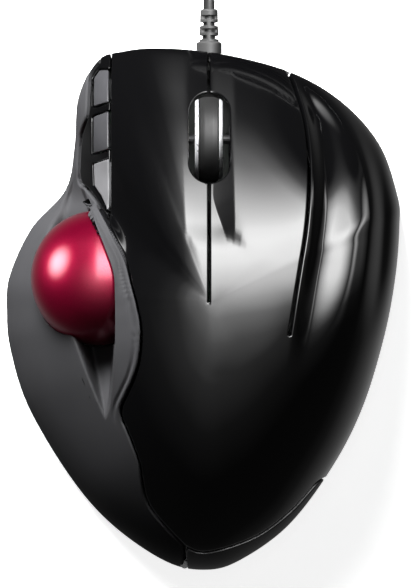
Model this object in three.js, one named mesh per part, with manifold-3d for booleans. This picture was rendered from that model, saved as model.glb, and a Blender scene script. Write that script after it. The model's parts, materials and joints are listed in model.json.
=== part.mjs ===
// A wired, right-handed thumb-trackball mouse, in millimetres.
// +Y is the front, where the cord leaves, +X is the right, and z = 0 is the desk under the feet.
import * as THREE from 'three';
import { mergeVertices } from 'three/addons/utils/BufferGeometryUtils.js';
import Module from 'manifold-3d';

const wasm = await Module();
wasm.setup();

// ---------------------------------------------------------------- driving dimensions
const GAP = 0.4;                 // clearance between neighbouring pieces
const WALL = 2.2;                // thickness of the case shells
const CROWN = 47;                // highest point of the palm
const CENTRE = [2, 2];           // plan point that the case outline is drawn around
const FOOT_H = 0.7;
const FLOOR_Z = 1.0;             // underside of the base shell
const FLOOR_TOP = 3.0;
const SPLIT_Z = 3.4;             // where the upper shells meet the base
const NOSE_TOP = 9.6;            // top of the base's front wall, under the buttons
const PRESS_GAP = 1.3;           // room under the buttons' front edge for their travel

const BALL_R = 17;
const BALL = new THREE.Vector3(-26.4, 8.1, 21.5);
const BALL_HOLE_R = 17.5;
const HOOD_R = 18.1;
const CUP_R = [18, 19.6];
const SENSOR_DIR = new THREE.Vector3(0.86, -0.2, -0.45).normalize();

const WHEEL_X = 1.5;
const WHEEL_Y = 42.9;
const WHEEL_R = 10.6;
const WHEEL_PROUD = 4.7;
const SLOT = { x: 1.65, y: 43.05, w: 10.3, l: 22.7 };
const SLIT = 0.7;                // width of the slit between the buttons
const HINGE_Y = -2;              // where the button plates bend off the palm

const BOARD_Z = 6.4;
const BOARD_T = 1.6;
const BOARD_TOP = BOARD_Z + BOARD_T;

const CORD_R = 1.4;
const EXIT_Z = 6.2;
const COIL = { x: 24.6, y: 108, r0: 10.4, r1: 21.6, z0: 0.9, h: 11.2 };
const PLUG = { x: 47, y: 131.5, z: 4.1 };

// Case outline seen from above, clockwise from the front.
const OUTLINE = [
  [-10.8, 66.4], [4.3, 65.0], [21.9, 60.5], [35.0, 53.1], [44.8, 42.3], [49.6, 29.0], [50.1, 21.4],
  [49.1, 8.6], [46.3, -6.5], [40.8, -24.7], [33.2, -39.8], [21.9, -54.9], [9.3, -64.0], [0.5, -66.4],
  [-9.6, -64.2], [-23.2, -54.9], [-33.8, -42.8], [-44.6, -24.7], [-49.2, -10.0], [-50.1, -0.5],
  [-49.4, 8.6], [-43.8, 20.7], [-35.0, 30.7], [-32.7, 41.8], [-31.7, 53.9], [-27.0, 63.2], [-20.5, 65.6],
];

// Where the glossy top shell ends over the matte thumb panel, front to rear.
const LIP = [
  [-26.4, 63.0], [-28.5, 59.9], [-28.9, 55.5], [-29.3, 49.2], [-31.3, 43.0], [-31.4, 33.4], [-26.6, 27.3],
  [-21.3, 17.6], [-17.6, 6.8], [-15.1, -5.0], [-16.9, -17.1], [-20.6, -24.3], [-18.7, -30.2],
  [-15.7, -38.5], [-13.4, -49.1], [-4.5, -59.7],
];

// Seam along the right button, front to rear.
const RIGHT_SEAM = [
  [21.6, 60.3], [25.1, 50.2], [26.6, 35.4], [25.6, 19.7], [23.0, 3.6], [22.3, -2.0],
];

// Rear edge of the glossy cover, right to left; the matte base shows outside it.
const REAR_EDGE = [
  [31.1, -42.8], [28.5, -44.1], [21.9, -51.1], [13.1, -57.4], [1.0, -61.2], [-4.5, -59.7],
];

const BEZEL_X = -23.1;           // line between the left button and the side-key bezel
const LIP_TIP = [-23.6, 22.4];   // where that line meets the lip

// ---------------------------------------------------------------- materials
const finish = (color, roughness, metalness = 0) =>
  new THREE.MeshStandardMaterial({ color, roughness, metalness });
const GLOSS = finish(0x0b0b0c, 0.08);
const MATTE = finish(0x26272a, 0.55);
const BALL_RED = finish(0x8c0f22, 0.15);
const CHROME = finish(0xd0d2d6, 0.15, 1);
const RUBBER = finish(0x2b2c2e, 0.6);
const STEEL = finish(0x9a9ca0, 0.35, 1);
const BOARD_GREEN = finish(0x14512c, 0.5);
const WHITE = finish(0xd8d6d0, 0.5);
const CHIP = finish(0x161618, 0.45);
const CLEAR = finish(0xdfe8ee, 0.05);
const PTFE = finish(0x3a3b3d, 0.4);
const LABEL = finish(0x8a8c90, 0.5);

// ---------------------------------------------------------------- solids
const mouse = new THREE.Group();

function mergedPositions(geometry) {
  const bare = geometry.clone();
  bare.deleteAttribute('normal');
  bare.deleteAttribute('uv');
  return mergeVertices(bare, 1e-4);
}

function toSolid(geometry) {
  const merged = mergedPositions(geometry);
  return new wasm.Manifold(new wasm.Mesh({
    numProp: 3,
    vertProperties: new Float32Array(merged.attributes.position.array),
    triVerts: new Uint32Array(merged.index.array),
  }));
}

function toGeometry(solid) {
  const mesh = solid.getMesh();
  const geometry = new THREE.BufferGeometry();
  geometry.setAttribute('position', new THREE.BufferAttribute(mesh.vertProperties, 3));
  geometry.setIndex(new THREE.BufferAttribute(mesh.triVerts, 1));
  geometry.computeVertexNormals();
  return geometry;
}

function add(name, shape, material) {
  const geometry = shape.isBufferGeometry ? shape : toGeometry(largestBody(shape));
  const mesh = new THREE.Mesh(geometry, material);
  mesh.name = name;
  mouse.add(mesh);
  return mesh;
}

// A cut can leave slivers beside the piece; the piece is the biggest body.
function largestBody(solid) {
  const bodies = solid.decompose();
  return bodies.reduce((best, body) => (body.volume() > best.volume() ? body : best));
}

function plate(points, z0, z1) {
  const shape = new THREE.Shape(points.map(([x, y]) => new THREE.Vector2(x, y)));
  const geometry = new THREE.ExtrudeGeometry(shape, { depth: z1 - z0, bevelEnabled: false });
  return toSolid(geometry.translate(0, 0, z0));
}

function box(x0, x1, y0, y1, z0, z1) {
  const geometry = new THREE.BoxGeometry(x1 - x0, y1 - y0, z1 - z0);
  return toSolid(geometry.translate((x0 + x1) / 2, (y0 + y1) / 2, (z0 + z1) / 2));
}

function post(x, y, z0, z1, r, sides = 12) {
  const geometry = new THREE.CylinderGeometry(r, r, z1 - z0, sides).rotateX(Math.PI / 2);
  return toSolid(geometry.translate(x, y, (z0 + z1) / 2));
}

function rod(axis, x, y, z, r, length, sides = 16) {
  const geometry = new THREE.CylinderGeometry(r, r, length, sides);
  if (axis === 'x') geometry.rotateZ(Math.PI / 2);
  return toSolid(geometry.translate(x, y, z));
}

function sphere(at, r, around = 28, down = 18) {
  return toSolid(new THREE.SphereGeometry(r, around, down).translate(at.x, at.y, at.z));
}

// A ring turned about the X axis: profile points are [radius, x].
function wheelRing(profile, sides = 30) {
  const points = [...profile, profile[0]].map(([r, x]) => new THREE.Vector2(r, x));
  const geometry = new THREE.LatheGeometry(points, sides).rotateZ(-Math.PI / 2);
  return facingOut(geometry).translate([WHEEL_X, WHEEL_Y, WHEEL_Z]);
}

// A turned profile may run either way round, so its faces are flipped where they point in.
function facingOut(geometry) {
  const solid = toSolid(geometry);
  if (solid.volume() > 0) return solid;
  const merged = mergedPositions(geometry);
  const order = merged.index.array.slice();
  for (let i = 0; i < order.length; i += 3) {
    [order[i], order[i + 1]] = [order[i + 1], order[i]];
  }
  merged.setIndex(new THREE.BufferAttribute(order, 1));
  return toSolid(merged);
}

// ---------------------------------------------------------------- case surface
const smooth = (t) => {
  const c = Math.min(1, Math.max(0, t));
  return c * c * (3 - 2 * c);
};

function closedCurve(points, samples) {
  const curve = new THREE.CatmullRomCurve3(points.map(([x, y]) => new THREE.Vector3(x, y, 0)), true);
  return curve.getPoints(samples).slice(0, samples).map((p) => [p.x, p.y]);
}

const FINE_OUTLINE = closedCurve(OUTLINE, 720);
const OUTLINE_POLAR = FINE_OUTLINE
  .map(([x, y]) => [Math.atan2(y - CENTRE[1], x - CENTRE[0]), Math.hypot(x - CENTRE[0], y - CENTRE[1])])
  .sort((a, b) => a[0] - b[0]);

function outlineRadius(angle) {
  const next = OUTLINE_POLAR.findIndex(([a]) => a > angle);
  const b = OUTLINE_POLAR[next < 0 ? 0 : next];
  const a = OUTLINE_POLAR[(next < 1 ? OUTLINE_POLAR.length : next) - 1];
  const span = b[0] - a[0];
  const t = span > 0 ? (angle - a[0]) / span : 0.5;
  return a[1] + (b[1] - a[1]) * t;
}

// Roll-off towards each side, in the order right, front, left, rear:
// rim height, power of the plan fraction, and power of what is left of it.
const SIDES = [
  { rim: 4, p: 3, q: 0.4545 },
  { rim: 12, p: 2, q: 0.95 },
  { rim: 4, p: 2, q: 0.91 },
  { rim: 4, p: 2, q: 0.64 },
];

function rollOff(angle) {
  const mixed = { rim: 0, p: 0, q: 0 };
  SIDES.forEach((side, i) => {
    const weight = Math.max(0, Math.cos(angle - (i * Math.PI) / 2)) ** 2;
    for (const key of Object.keys(mixed)) mixed[key] += side[key] * weight;
  });
  return mixed;
}

// x of the four lines that shape the right flank: two steep bands, each with a hollow beside it.
const GROOVE_1 = [[60, 21.6], [50, 25.1], [35, 26.6], [20, 25.6], [4, 23.0], [-20, 20.0]];
const GROOVE_2 = [[60, 31.0], [46, 38.0], [31, 42.0], [18, 41.5], [-1, 38.5], [-20, 33.0]];

function lineX(line, y) {
  const next = line.findIndex(([ly]) => ly < y);
  if (next === 0) return line[0][1];
  if (next < 0) return line[line.length - 1][1];
  const [y0, x0] = line[next - 1];
  const [y1, x1] = line[next];
  return x0 + ((x1 - x0) * (y - y0)) / (y1 - y0);
}

// 0 at both ends, 1 at the fraction `peak`.
function hollow(t, peak) {
  if (t <= 0 || t >= 1) return 0;
  return t < peak ? smooth(t / peak) : 1 - smooth((t - peak) / (1 - peak));
}

function grooveDepth(x, y, s) {
  const x1 = lineX(GROOVE_1, y);
  const x2 = lineX(GROOVE_2, y);
  const edge = smooth((1 - s) / 0.12);
  const first = 3.4 * hollow((x - x1) / (x2 - x1), 0.3) * smooth((y + 18) / 30);
  const second = 3.2 * hollow((x - x2) / (52 - x2), 0.4) * smooth((y + 10) / 22);
  return (first + second) * edge;
}

// Channel round the wheel: it deepens evenly to the right up to a low bank, and behind the wheel only
// the ridge along its left side carries on.
function troughDepth(x, y) {
  const low = 2.2 + 4.4 * smooth((30 - y) / 16);
  const bend = Math.min((x + 4.3) / (low + 4.3), (7.8 - x) / (7.8 - low));
  const ridge = Math.min((4 - x) / 8.3, (x + 12) / 7.7);
  const behind = 1 - smooth((y - 14) / 8);
  const clamped = (t) => Math.min(1, Math.max(0, t));
  return 0.75 * clamped(bend) * (1 - behind) - 0.5 * clamped(ridge) * smooth((y + 6) / 12) * behind;
}

// Hollow that the ball stands in, from a crease on its left to the strip along the lip.
const STRIP_EDGE = [
  [40, -31.9], [34, -31.2], [27.7, -29.0], [21.4, -26.7], [15.1, -24.2], [10, -22.4], [5, -21.9],
  [-9, -21.9], [-22.7, -22.9], [-28, -24.2], [-34, -26],
];
const HOLLOW_CREASE = [
  [40, -32.5], [33, -33.8], [27, -36.5], [20, -40.0], [6, -43], [-3, -36], [-6.3, -33], [-18.9, -28],
  [-26.4, -24.9], [-34, -22],
];
const HOLLOW_DEPTH = 14;

function hollowDepth(x, y) {
  const strip = lineX(STRIP_EDGE, y);
  const crease = lineX(HOLLOW_CREASE, y);
  const across = smooth((x - crease) / Math.max(0.4 * (strip - crease), 0.5));
  const along = smooth((y + 29) / 21) * (1 - 0.72 * smooth((y - 14) / 12)) * (1 - smooth((y - 27) / 10));
  return HOLLOW_DEPTH * across * along * smooth((strip - x) / 0.9);
}

// How far the strip and the lip stand over the surface z as a cap on the right side of the ball.
function hoodRise(x, y, z) {
  const over = HOOD_R ** 2 - (x - BALL.x) ** 2 - (y - BALL.y) ** 2;
  const cap = over > 0 ? BALL.z + Math.sqrt(over) : 0;
  return Math.max(cap - z, 0) * smooth((x - lineX(STRIP_EDGE, y) + 0.9) / 0.9);
}

function surfaceZ(x, y) {
  const dx = x - CENTRE[0];
  const dy = y - CENTRE[1];
  const angle = Math.atan2(dy, dx);
  const s = Math.min(1, Math.hypot(dx, dy) / outlineRadius(angle));
  const { rim, p, q } = rollOff(angle);
  const domed = rim + (CROWN - rim) * (1 - s ** p) ** q;
  const shaped = domed - grooveDepth(x, y, s) - troughDepth(x, y);
  return shaped + hoodRise(x, y, shaped) - hollowDepth(x, y);
}

// Solid under the case surface, made of rings that shrink towards the centre.
function dome(inset, drop, zBottom, around = 60) {
  const rings = [1, 0.975, 0.92, 0.82, 0.69, 0.52, 0.34, 0.15];
  const rim = closedCurve(OUTLINE, around);
  const positions = [];
  const ringOf = (k, z) => rim.forEach(([ox, oy]) => {
    const dx = ox - CENTRE[0];
    const dy = oy - CENTRE[1];
    const scale = k * (1 - inset / Math.hypot(dx, dy));
    const x = CENTRE[0] + dx * scale;
    const y = CENTRE[1] + dy * scale;
    positions.push(x, y, z ?? Math.max(zBottom + 0.5, surfaceZ(x, y) - drop));
  });
  ringOf(1, zBottom);
  rings.forEach((k) => ringOf(k));
  const top = positions.length / 3;
  positions.push(CENTRE[0], CENTRE[1], surfaceZ(...CENTRE) - drop);
  positions.push(CENTRE[0], CENTRE[1], zBottom);
  const index = [];
  for (let j = 0; j < around; j++) {
    const next = (j + 1) % around;
    for (let i = 0; i < rings.length; i++) {
      const a = i * around;
      const b = a + around;
      index.push(a + j, b + j, b + next, a + j, b + next, a + next);
    }
    const last = rings.length * around;
    index.push(last + j, top, last + next, j, next, top + 1);
  }
  const geometry = new THREE.BufferGeometry();
  geometry.setAttribute('position', new THREE.Float32BufferAttribute(positions, 3));
  geometry.setIndex(index);
  return facingOut(geometry);
}

const OUTER = dome(0, 0, SPLIT_Z);
const INNER = dome(WALL, WALL * 1.15, 2);
const SHELL = OUTER.subtract(INNER);
const CAVITY = dome(WALL + GAP, WALL * 1.15 + GAP, FLOOR_TOP + 0.05, 40);
const WHEEL_Z = surfaceZ(WHEEL_X, WHEEL_Y) + WHEEL_PROUD - WHEEL_R;

// ---------------------------------------------------------------- plan regions
const shiftX = (line, dx) => line.map(([x, y]) => [x + dx, y]);
const FAR = 80;

function region(points, z0 = 0, z1 = 60) {
  return plate(points, z0, z1);
}

const lipBehind = LIP.filter(([, y]) => y < 20);
const lipAhead = LIP.filter(([, y]) => y > 20);

function panelRegion() {
  return region([...shiftX(LIP, -GAP), [-5, -FAR], [-FAR, -FAR], [-FAR, FAR], [-26.8, FAR]]);
}

function bezelRegion() {
  const right = BEZEL_X - GAP;
  return region([[-26.6, FAR], [right, FAR], [right, LIP_TIP[1]], ...lipAhead.slice().reverse()]);
}

function leftButtonRegion() {
  const lipPart = lipBehind.filter(([, y]) => y > HINGE_Y);
  return region([
    [WHEEL_X - SLIT / 2, FAR], [BEZEL_X, FAR], [BEZEL_X, LIP_TIP[1]], ...lipPart,
    [-15.8, HINGE_Y], [WHEEL_X - SLIT / 2, HINGE_Y],
  ]);
}

function rightButtonRegion() {
  return region([
    [WHEEL_X + SLIT / 2, HINGE_Y], ...RIGHT_SEAM.slice().reverse(), [21.6, FAR], [WHEEL_X + SLIT / 2, FAR],
  ]);
}

function coverRegion() {
  const rear = lipBehind.filter(([, y]) => y < HINGE_Y);
  return region([
    [-15.6, HINGE_Y - GAP], [22.3 + GAP, HINGE_Y - GAP], ...shiftX(RIGHT_SEAM, 1).reverse().slice(1),
    [22.6, FAR], [FAR, FAR], [FAR, -43], ...REAR_EDGE.slice(0, -1), ...rear.slice().reverse(),
  ]);
}

function rearRimRegion() {
  const line = REAR_EDGE.map(([x, y]) => [x, y - GAP]);
  return region([[FAR, -43 - GAP], ...line, [-4.5 - GAP, -61], [-5, -FAR], [FAR, -FAR]], 0, 40);
}

function slot(x, y, w, l, z0, z1) {
  const outline = [];
  for (let i = 0; i < 16; i++) {
    const angle = (i / 16) * 2 * Math.PI + Math.PI / 16;
    const cy = Math.sign(Math.sin(angle)) * (l - w) / 2;
    outline.push([x + Math.cos(angle) * w / 2, y + cy + Math.sin(angle) * w / 2]);
  }
  return plate(outline, z0, z1);
}

const ABOVE_NOSE = box(-90, 90, -90, 90, NOSE_TOP + PRESS_GAP, 70);
const NOSE = box(BEZEL_X, 22, 40, 70, 1, NOSE_TOP);
const WHEEL_SPACE = rod('x', WHEEL_X, WHEEL_Y, WHEEL_Z, WHEEL_R + 0.7, 9.2, 30);
const WHEEL_SLOT = slot(SLOT.x, SLOT.y, SLOT.w, SLOT.l, 10, 50).add(WHEEL_SPACE);
const BALL_SPACE = sphere(BALL, BALL_HOLE_R);

// ---------------------------------------------------------------- case screws
const SCREWS = [
  { name: 'case_screw_cover_right', x: 30, y: -14 },
  { name: 'case_screw_cover_rear', x: 8, y: -44 },
  { name: 'case_screw_cover_front', x: 34, y: 34 },
  { name: 'case_screw_panel_rear', x: -26, y: -36 },
  { name: 'case_screw_panel_side', x: -40, y: -14 },
];
const SCREW = { head: 2.3, shank: 1.1, headZ: 1.25, headTop: 2.3, tip: 9.5, bossR: 3.1 };

function withPosts(shell, screws) {
  let joined = shell;
  for (const { x, y } of screws) {
    const boss = post(x, y, SPLIT_Z + 0.6, 60, SCREW.bossR).intersect(OUTER);
    const bore = post(x, y, 0, SCREW.tip + 1, SCREW.shank + 0.35, 12);
    joined = joined.add(boss).subtract(bore);
  }
  return joined;
}

function caseScrew({ name, x, y }) {
  const head = post(x, y, SCREW.headZ, SCREW.headTop, SCREW.head);
  const shank = post(x, y, SCREW.headTop - 0.1, SCREW.tip, SCREW.shank, 12);
  const driver = box(x - 0.25, x + 0.25, y - 1.4, y + 1.4, 1, SCREW.headZ + 0.6);
  const cross = box(x - 1.4, x + 1.4, y - 0.25, y + 0.25, 1, SCREW.headZ + 0.6);
  add(name, head.add(shank).subtract(driver).subtract(cross), STEEL);
}

// ---------------------------------------------------------------- base
const FEET = [
  { name: 'foot_front_left', x: -13, y: 56, w: 16, l: 6 },
  { name: 'foot_front_right', x: 24, y: 46, w: 16, l: 6 },
  { name: 'foot_right', x: 38, y: -8, w: 6, l: 16 },
  { name: 'foot_left', x: -42, y: 2, w: 6, l: 16 },
  { name: 'foot_rear', x: 2, y: -55, w: 22, l: 6 },
];

function baseShell() {
  const rim = closedCurve(OUTLINE, 60).map(([x, y]) => {
    const scale = 1 - 1.2 / Math.hypot(x - CENTRE[0], y - CENTRE[1]);
    return [CENTRE[0] + (x - CENTRE[0]) * scale, CENTRE[1] + (y - CENTRE[1]) * scale];
  });
  const tall = dome(0, 0, 2);
  const wall = tall.subtract(dome(WALL, WALL * 1.15, 1));
  let base = plate(rim, FLOOR_Z, FLOOR_TOP);
  base = base.add(wall.intersect(NOSE)).add(wall.intersect(rearRimRegion()));
  for (const { x, y } of SCREWS) {
    base = base.subtract(post(x, y, 0, 5, SCREW.shank + 0.4, 12));
    base = base.subtract(post(x, y, 0, SCREW.headTop + 0.3, SCREW.head + 0.4));
  }
  for (const { x, y } of BOARD_SCREWS) {
    base = base.add(post(x, y, FLOOR_TOP - 0.2, BOARD_Z - 0.3, 2.6));
    base = base.subtract(post(x, y, FLOOR_TOP, 12, 1.15, 12));
  }
  const bootHole = rod('y', WHEEL_X, 64, EXIT_Z, BOOT_R + 0.45, 30);
  return base.subtract(bootHole);
}

function feetAndLabel() {
  for (const { name, x, y, w, l } of FEET) {
    add(name, slotAcross(x, y, w, l, 0, FOOT_H), PTFE);
  }
  add('rating_label', box(-14, 18, -20, 4, 0.45, FOOT_H), LABEL);
}

// A rounded pad longer in x or in y.
function slotAcross(x, y, w, l, z0, z1) {
  const pad = slot(0, 0, Math.min(w, l), Math.max(w, l), z0, z1);
  return (w > l ? pad.rotate([0, 0, 90]) : pad).translate([x, y, 0]);
}

// ---------------------------------------------------------------- upper shells
function buttonRib(x, y, zLow) {
  return box(x - 1.5, x + 1.5, y - 1.5, y + 1.5, zLow, 60).intersect(OUTER);
}

function upperShells() {
  const cover = SHELL.intersect(coverRegion()).subtract(rearRimRegion());
  add('top_cover', withPosts(cover, SCREWS.slice(0, 3)), GLOSS);

  const left = SHELL.intersect(leftButtonRegion()).intersect(ABOVE_NOSE);
  const leftRib = buttonRib(SWITCH.left.x, SWITCH.left.y, SWITCH_TOP + 0.8);
  add('left_button', left.add(leftRib).subtract(WHEEL_SLOT).subtract(BALL_SPACE), GLOSS);

  const right = SHELL.intersect(rightButtonRegion()).intersect(ABOVE_NOSE);
  const rightRib = buttonRib(SWITCH.right.x, SWITCH.right.y, SWITCH_TOP + 0.8);
  add('right_button', right.add(rightRib).subtract(WHEEL_SLOT), GLOSS);

  const panel = SHELL.intersect(panelRegion()).subtract(BALL_SPACE);
  add('thumb_panel', withPosts(panel, SCREWS.slice(3)), MATTE);
}

// ---------------------------------------------------------------- side keys
// Corners seen from above; both keys have slanted ends.
const KEYS = [
  {
    name: 'forward_button', stemY: 56,
    corners: [[-27.9, 51.2], [-23.8, 52.3], [-23.8, 61.0], [-26.3, 61.0], [-27.9, 58.8]],
  },
  {
    name: 'back_button', stemY: 44.6,
    corners: [[-27.9, 39.2], [-23.8, 40.2], [-23.8, 50.3], [-27.9, 48.9]],
  },
];
const TRIM = [[-27.6, 36.8], [-23.9, 37.9], [-23.8, 25.2], [-25.6, 28.6], [-27.5, 31.4]];
const TRIM_POCKET = [[-28.0, 37.1], [-23.5, 38.3], [-23.5, 23.8], [-26.0, 28.1], [-27.9, 31.0]];

// Pushes the corners of a plan shape away from its middle.
function grown(corners, by) {
  const mid = [0, 1].map((k) => corners.reduce((sum, c) => sum + c[k], 0) / corners.length);
  return corners.map(([x, y]) => [x + Math.sign(x - mid[0]) * by, y + Math.sign(y - mid[1]) * by]);
}

function sideKeys() {
  let bezel = SHELL.intersect(bezelRegion());
  for (const { name, stemY, corners } of KEYS) {
    bezel = bezel.subtract(plate(grown(corners, 0.3), 0, 60));
    const cap = OUTER.intersect(plate(corners, TACT_TOP + 0.7, 60)).subtract(INNER);
    const stem = box(-26.0, -24.8, stemY - 1, stemY + 1, TACT_TOP + 0.7, 60).intersect(OUTER);
    add(name, cap.add(stem), GLOSS);
  }
  const trim = SHELL.intersect(bezelRegion()).intersect(plate(TRIM, 20, 60));
  add('key_bezel', bezel.subtract(plate(TRIM_POCKET, 0, 60)).subtract(BALL_SPACE), GLOSS);
  add('bezel_trim', trim.subtract(BALL_SPACE), GLOSS);
}

// ---------------------------------------------------------------- ball and its cup
function ballUnit() {
  add('ball', new THREE.SphereGeometry(BALL_R, 32, 18).translate(BALL.x, BALL.y, BALL.z), BALL_RED);
  const away = (dir, d) => BALL.clone().addScaledVector(dir, d);
  let cup = sphere(BALL, CUP_R[1]).subtract(sphere(BALL, CUP_R[0]));
  cup = cup.intersect(box(-60, 0, -20, 40, FLOOR_TOP + GAP, 12));
  cup = cup.intersect(CAVITY).subtract(SHELL.translate([0, 0, -GAP])).subtract(SHELL);
  const window = aimed(new THREE.CylinderGeometry(4.4, 4.4, 12, 16), SENSOR_DIR, away(SENSOR_DIR, 20));
  cup = cup.subtract(window);
  [95, 215, 335].forEach((degrees, i) => {
    const turn = THREE.MathUtils.degToRad(degrees);
    const dir = new THREE.Vector3(Math.cos(turn) * 0.76, Math.sin(turn) * 0.76, -0.65).normalize();
    const at = away(dir, BALL_R + 1.3);
    cup = cup.subtract(sphere(at, 1.55, 12, 8));
    add(`ball_bearing_${i + 1}`, sphere(at, 1.15, 12, 8), STEEL);
  });
  add('ball_cup', cup, MATTE);
}

// Lays a shape modelled along Y on the line `dir` through `at`.
function aimed(geometry, dir, at) {
  const turn = new THREE.Quaternion().setFromUnitVectors(new THREE.Vector3(0, 1, 0), dir);
  return toSolid(geometry.applyQuaternion(turn).translate(at.x, at.y, at.z));
}

function sensorUnit() {
  const at = (d) => BALL.clone().addScaledVector(SENSOR_DIR, d);
  add('sensor_lens', aimed(new THREE.CylinderGeometry(3.4, 3.4, 1.6, 16), SENSOR_DIR, at(20.4)), CLEAR);
  add('sensor_chip', aimed(new THREE.BoxGeometry(8, 1.6, 8), SENSOR_DIR, at(22.4)), CHIP);
  add('sensor_board', aimed(new THREE.BoxGeometry(9.5, 1.0, 9.5), SENSOR_DIR, at(24.1)), BOARD_GREEN);
}

// ---------------------------------------------------------------- wheel unit
const ARM_X = 5.0;               // inner face of each cradle arm from the wheel's middle
const PIVOT = { y: 25, z: 13.5 };

function wheelUnit() {
  add('wheel_tyre', wheelRing([[WHEEL_R - 2.3, -2.3], [WHEEL_R, -1.9], [WHEEL_R, 1.9], [WHEEL_R - 2.3, 2.3]]), RUBBER);
  add('wheel_hub', wheelRing([[1.7, -2.6], [WHEEL_R - 2.7, -2.6], [WHEEL_R - 2.7, 2.6], [1.7, 2.6]], 32), WHITE);
  for (const [side, sign] of [['left', -1], ['right', 1]]) {
    const [x0, x1] = [sign * 2.9, sign * 3.7];
    const ring = [[WHEEL_R - 4.4, x0], [WHEEL_R - 0.4, x0], [WHEEL_R - 1, x1], [WHEEL_R - 3.8, x1]];
    add(`wheel_ring_${side}`, wheelRing(ring), CHROME);
  }
  add('wheel_axle', rod('x', WHEEL_X + 0.4, WHEEL_Y, WHEEL_Z, 1.3, 18), STEEL);
  add('wheel_cradle', cradle(), MATTE);
  add('cradle_pin', rod('x', WHEEL_X, PIVOT.y, PIVOT.z, 1.0, 18.6, 12), STEEL);
}

function cradle() {
  let frame = box(WHEEL_X - 7, WHEEL_X + 7, PIVOT.y - 2.5, PIVOT.y + 2.5, PIVOT.z - 2.5, PIVOT.z + 2.5);
  for (const sign of [-1, 1]) {
    const [a, b] = [WHEEL_X + sign * ARM_X, WHEEL_X + sign * 7];
    const [x0, x1] = [Math.min(a, b), Math.max(a, b)];
    frame = frame.add(box(x0, x1, PIVOT.y - 1, WHEEL_Y + 3.2, PIVOT.z - 2.5, PIVOT.z + 2));
    frame = frame.add(box(x0, x1, WHEEL_Y - 3.2, WHEEL_Y + 3.2, PIVOT.z - 2.5, WHEEL_Z - 0.8));
  }
  const seat = rod('x', WHEEL_X, WHEEL_Y, WHEEL_Z, 1.6, 40);
  return frame.subtract(seat).subtract(rod('x', WHEEL_X, PIVOT.y, PIVOT.z, 1.35, 40, 12));
}

function encoder() {
  const body = box(-9.6, -6.2, WHEEL_Y - 4.5, WHEEL_Y + 4.5, BOARD_TOP + 0.3, WHEEL_Z - 0.9);
  return body.subtract(rod('x', -8, WHEEL_Y, WHEEL_Z, 2.1, 10));
}

function cradleSpring() {
  const turns = 3;
  const [z0, z1] = [BOARD_TOP + 0.7, PIVOT.z - 3.1];
  const path = new THREE.CatmullRomCurve3(Array.from({ length: turns * 10 + 1 }, (_, i) => {
    const angle = (i / 10) * 2 * Math.PI;
    const z = z0 + ((z1 - z0) * i) / (turns * 10);
    return new THREE.Vector3(8.0 + Math.cos(angle) * 1.4, 33 + Math.sin(angle) * 1.4, z);
  }));
  return tube(path, 0.18, 36, 6);
}

function tube(path, r, steps, sides) {
  const section = new THREE.Shape(Array.from({ length: sides }, (_, i) => {
    const angle = (i / sides) * 2 * Math.PI;
    return new THREE.Vector2(Math.cos(angle) * r, Math.sin(angle) * r);
  }));
  return new THREE.ExtrudeGeometry(section, { steps, bevelEnabled: false, extrudePath: path });
}

// ---------------------------------------------------------------- electronics
const SWITCH = { left: { x: -13, y: 40 }, right: { x: 16.5, y: 40 }, middle: { x: 10.5, y: 46.5 } };
const SWITCH_H = 6.5;
const SWITCH_TOP = BOARD_TOP + 0.3 + SWITCH_H + 0.8;
const TACT_TOP = BOARD_TOP + 0.3 + 3.6;
const BOARD_SCREWS = [
  { name: 'board_screw_front', x: 16, y: 50.8 },
  { name: 'board_screw_rear', x: 2, y: -28 },
];

function microSwitch({ x, y }) {
  const z0 = BOARD_TOP + 0.3;
  const body = box(x - 2.9, x + 2.9, y - 6.4, y + 6.4, z0, z0 + SWITCH_H);
  return body.add(box(x - 0.6, x + 0.6, y - 1.4, y + 1.4, z0 + SWITCH_H - 0.1, SWITCH_TOP));
}

function electronics() {
  const edge = [
    [-13, 54], [20, 54], [26, 44], [22, 4], [12, -34], [-6, -34], [-1, -6], [-1, 14], [-17, 36], [-17, 50],
  ];
  let board = plate(edge, BOARD_Z, BOARD_TOP);
  for (const { name, x, y } of BOARD_SCREWS) {
    board = board.subtract(post(x, y, 0, 20, 1.5, 12));
    const head = post(x, y, BOARD_TOP + 0.3, BOARD_TOP + 1.6, 2.1, 12);
    add(name, head.add(post(x, y, FLOOR_TOP + 0.5, BOARD_TOP + 0.5, 0.8, 12)), STEEL);
  }
  add('main_board', board, BOARD_GREEN);
  add('left_switch', microSwitch(SWITCH.left), CHIP);
  add('right_switch', microSwitch(SWITCH.right), CHIP);
  const lowSwitch = box(7.4, 13.4, 43.5, 49.5, BOARD_TOP + 0.3, BOARD_TOP + 2.2);
  add('middle_switch', lowSwitch, CHIP);
  add('controller_chip', box(2, 9, 2, 9, BOARD_TOP + 0.3, BOARD_TOP + 1.9), CHIP);
  add('cord_socket', box(-12, -4, 49.4, 53.2, BOARD_TOP + 0.3, BOARD_TOP + 5), WHITE);
  add('rotary_encoder', encoder(), CHIP);
  add('cradle_spring', cradleSpring(), STEEL);

  add('side_key_board', box(-27.4, -19.6, 39, 58.8, BOARD_Z, BOARD_TOP), BOARD_GREEN);
  for (const { name, stemY: y } of KEYS) {
    const tact = box(-27.2, -22.8, y - 2.4, y + 2.4, BOARD_TOP + 0.3, TACT_TOP - 0.6);
    const cap = post(-25.4, y, TACT_TOP - 0.7, TACT_TOP, 1.4, 12);
    add(name.replace('button', 'switch'), tact.add(cap), CHIP);
  }
}

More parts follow.
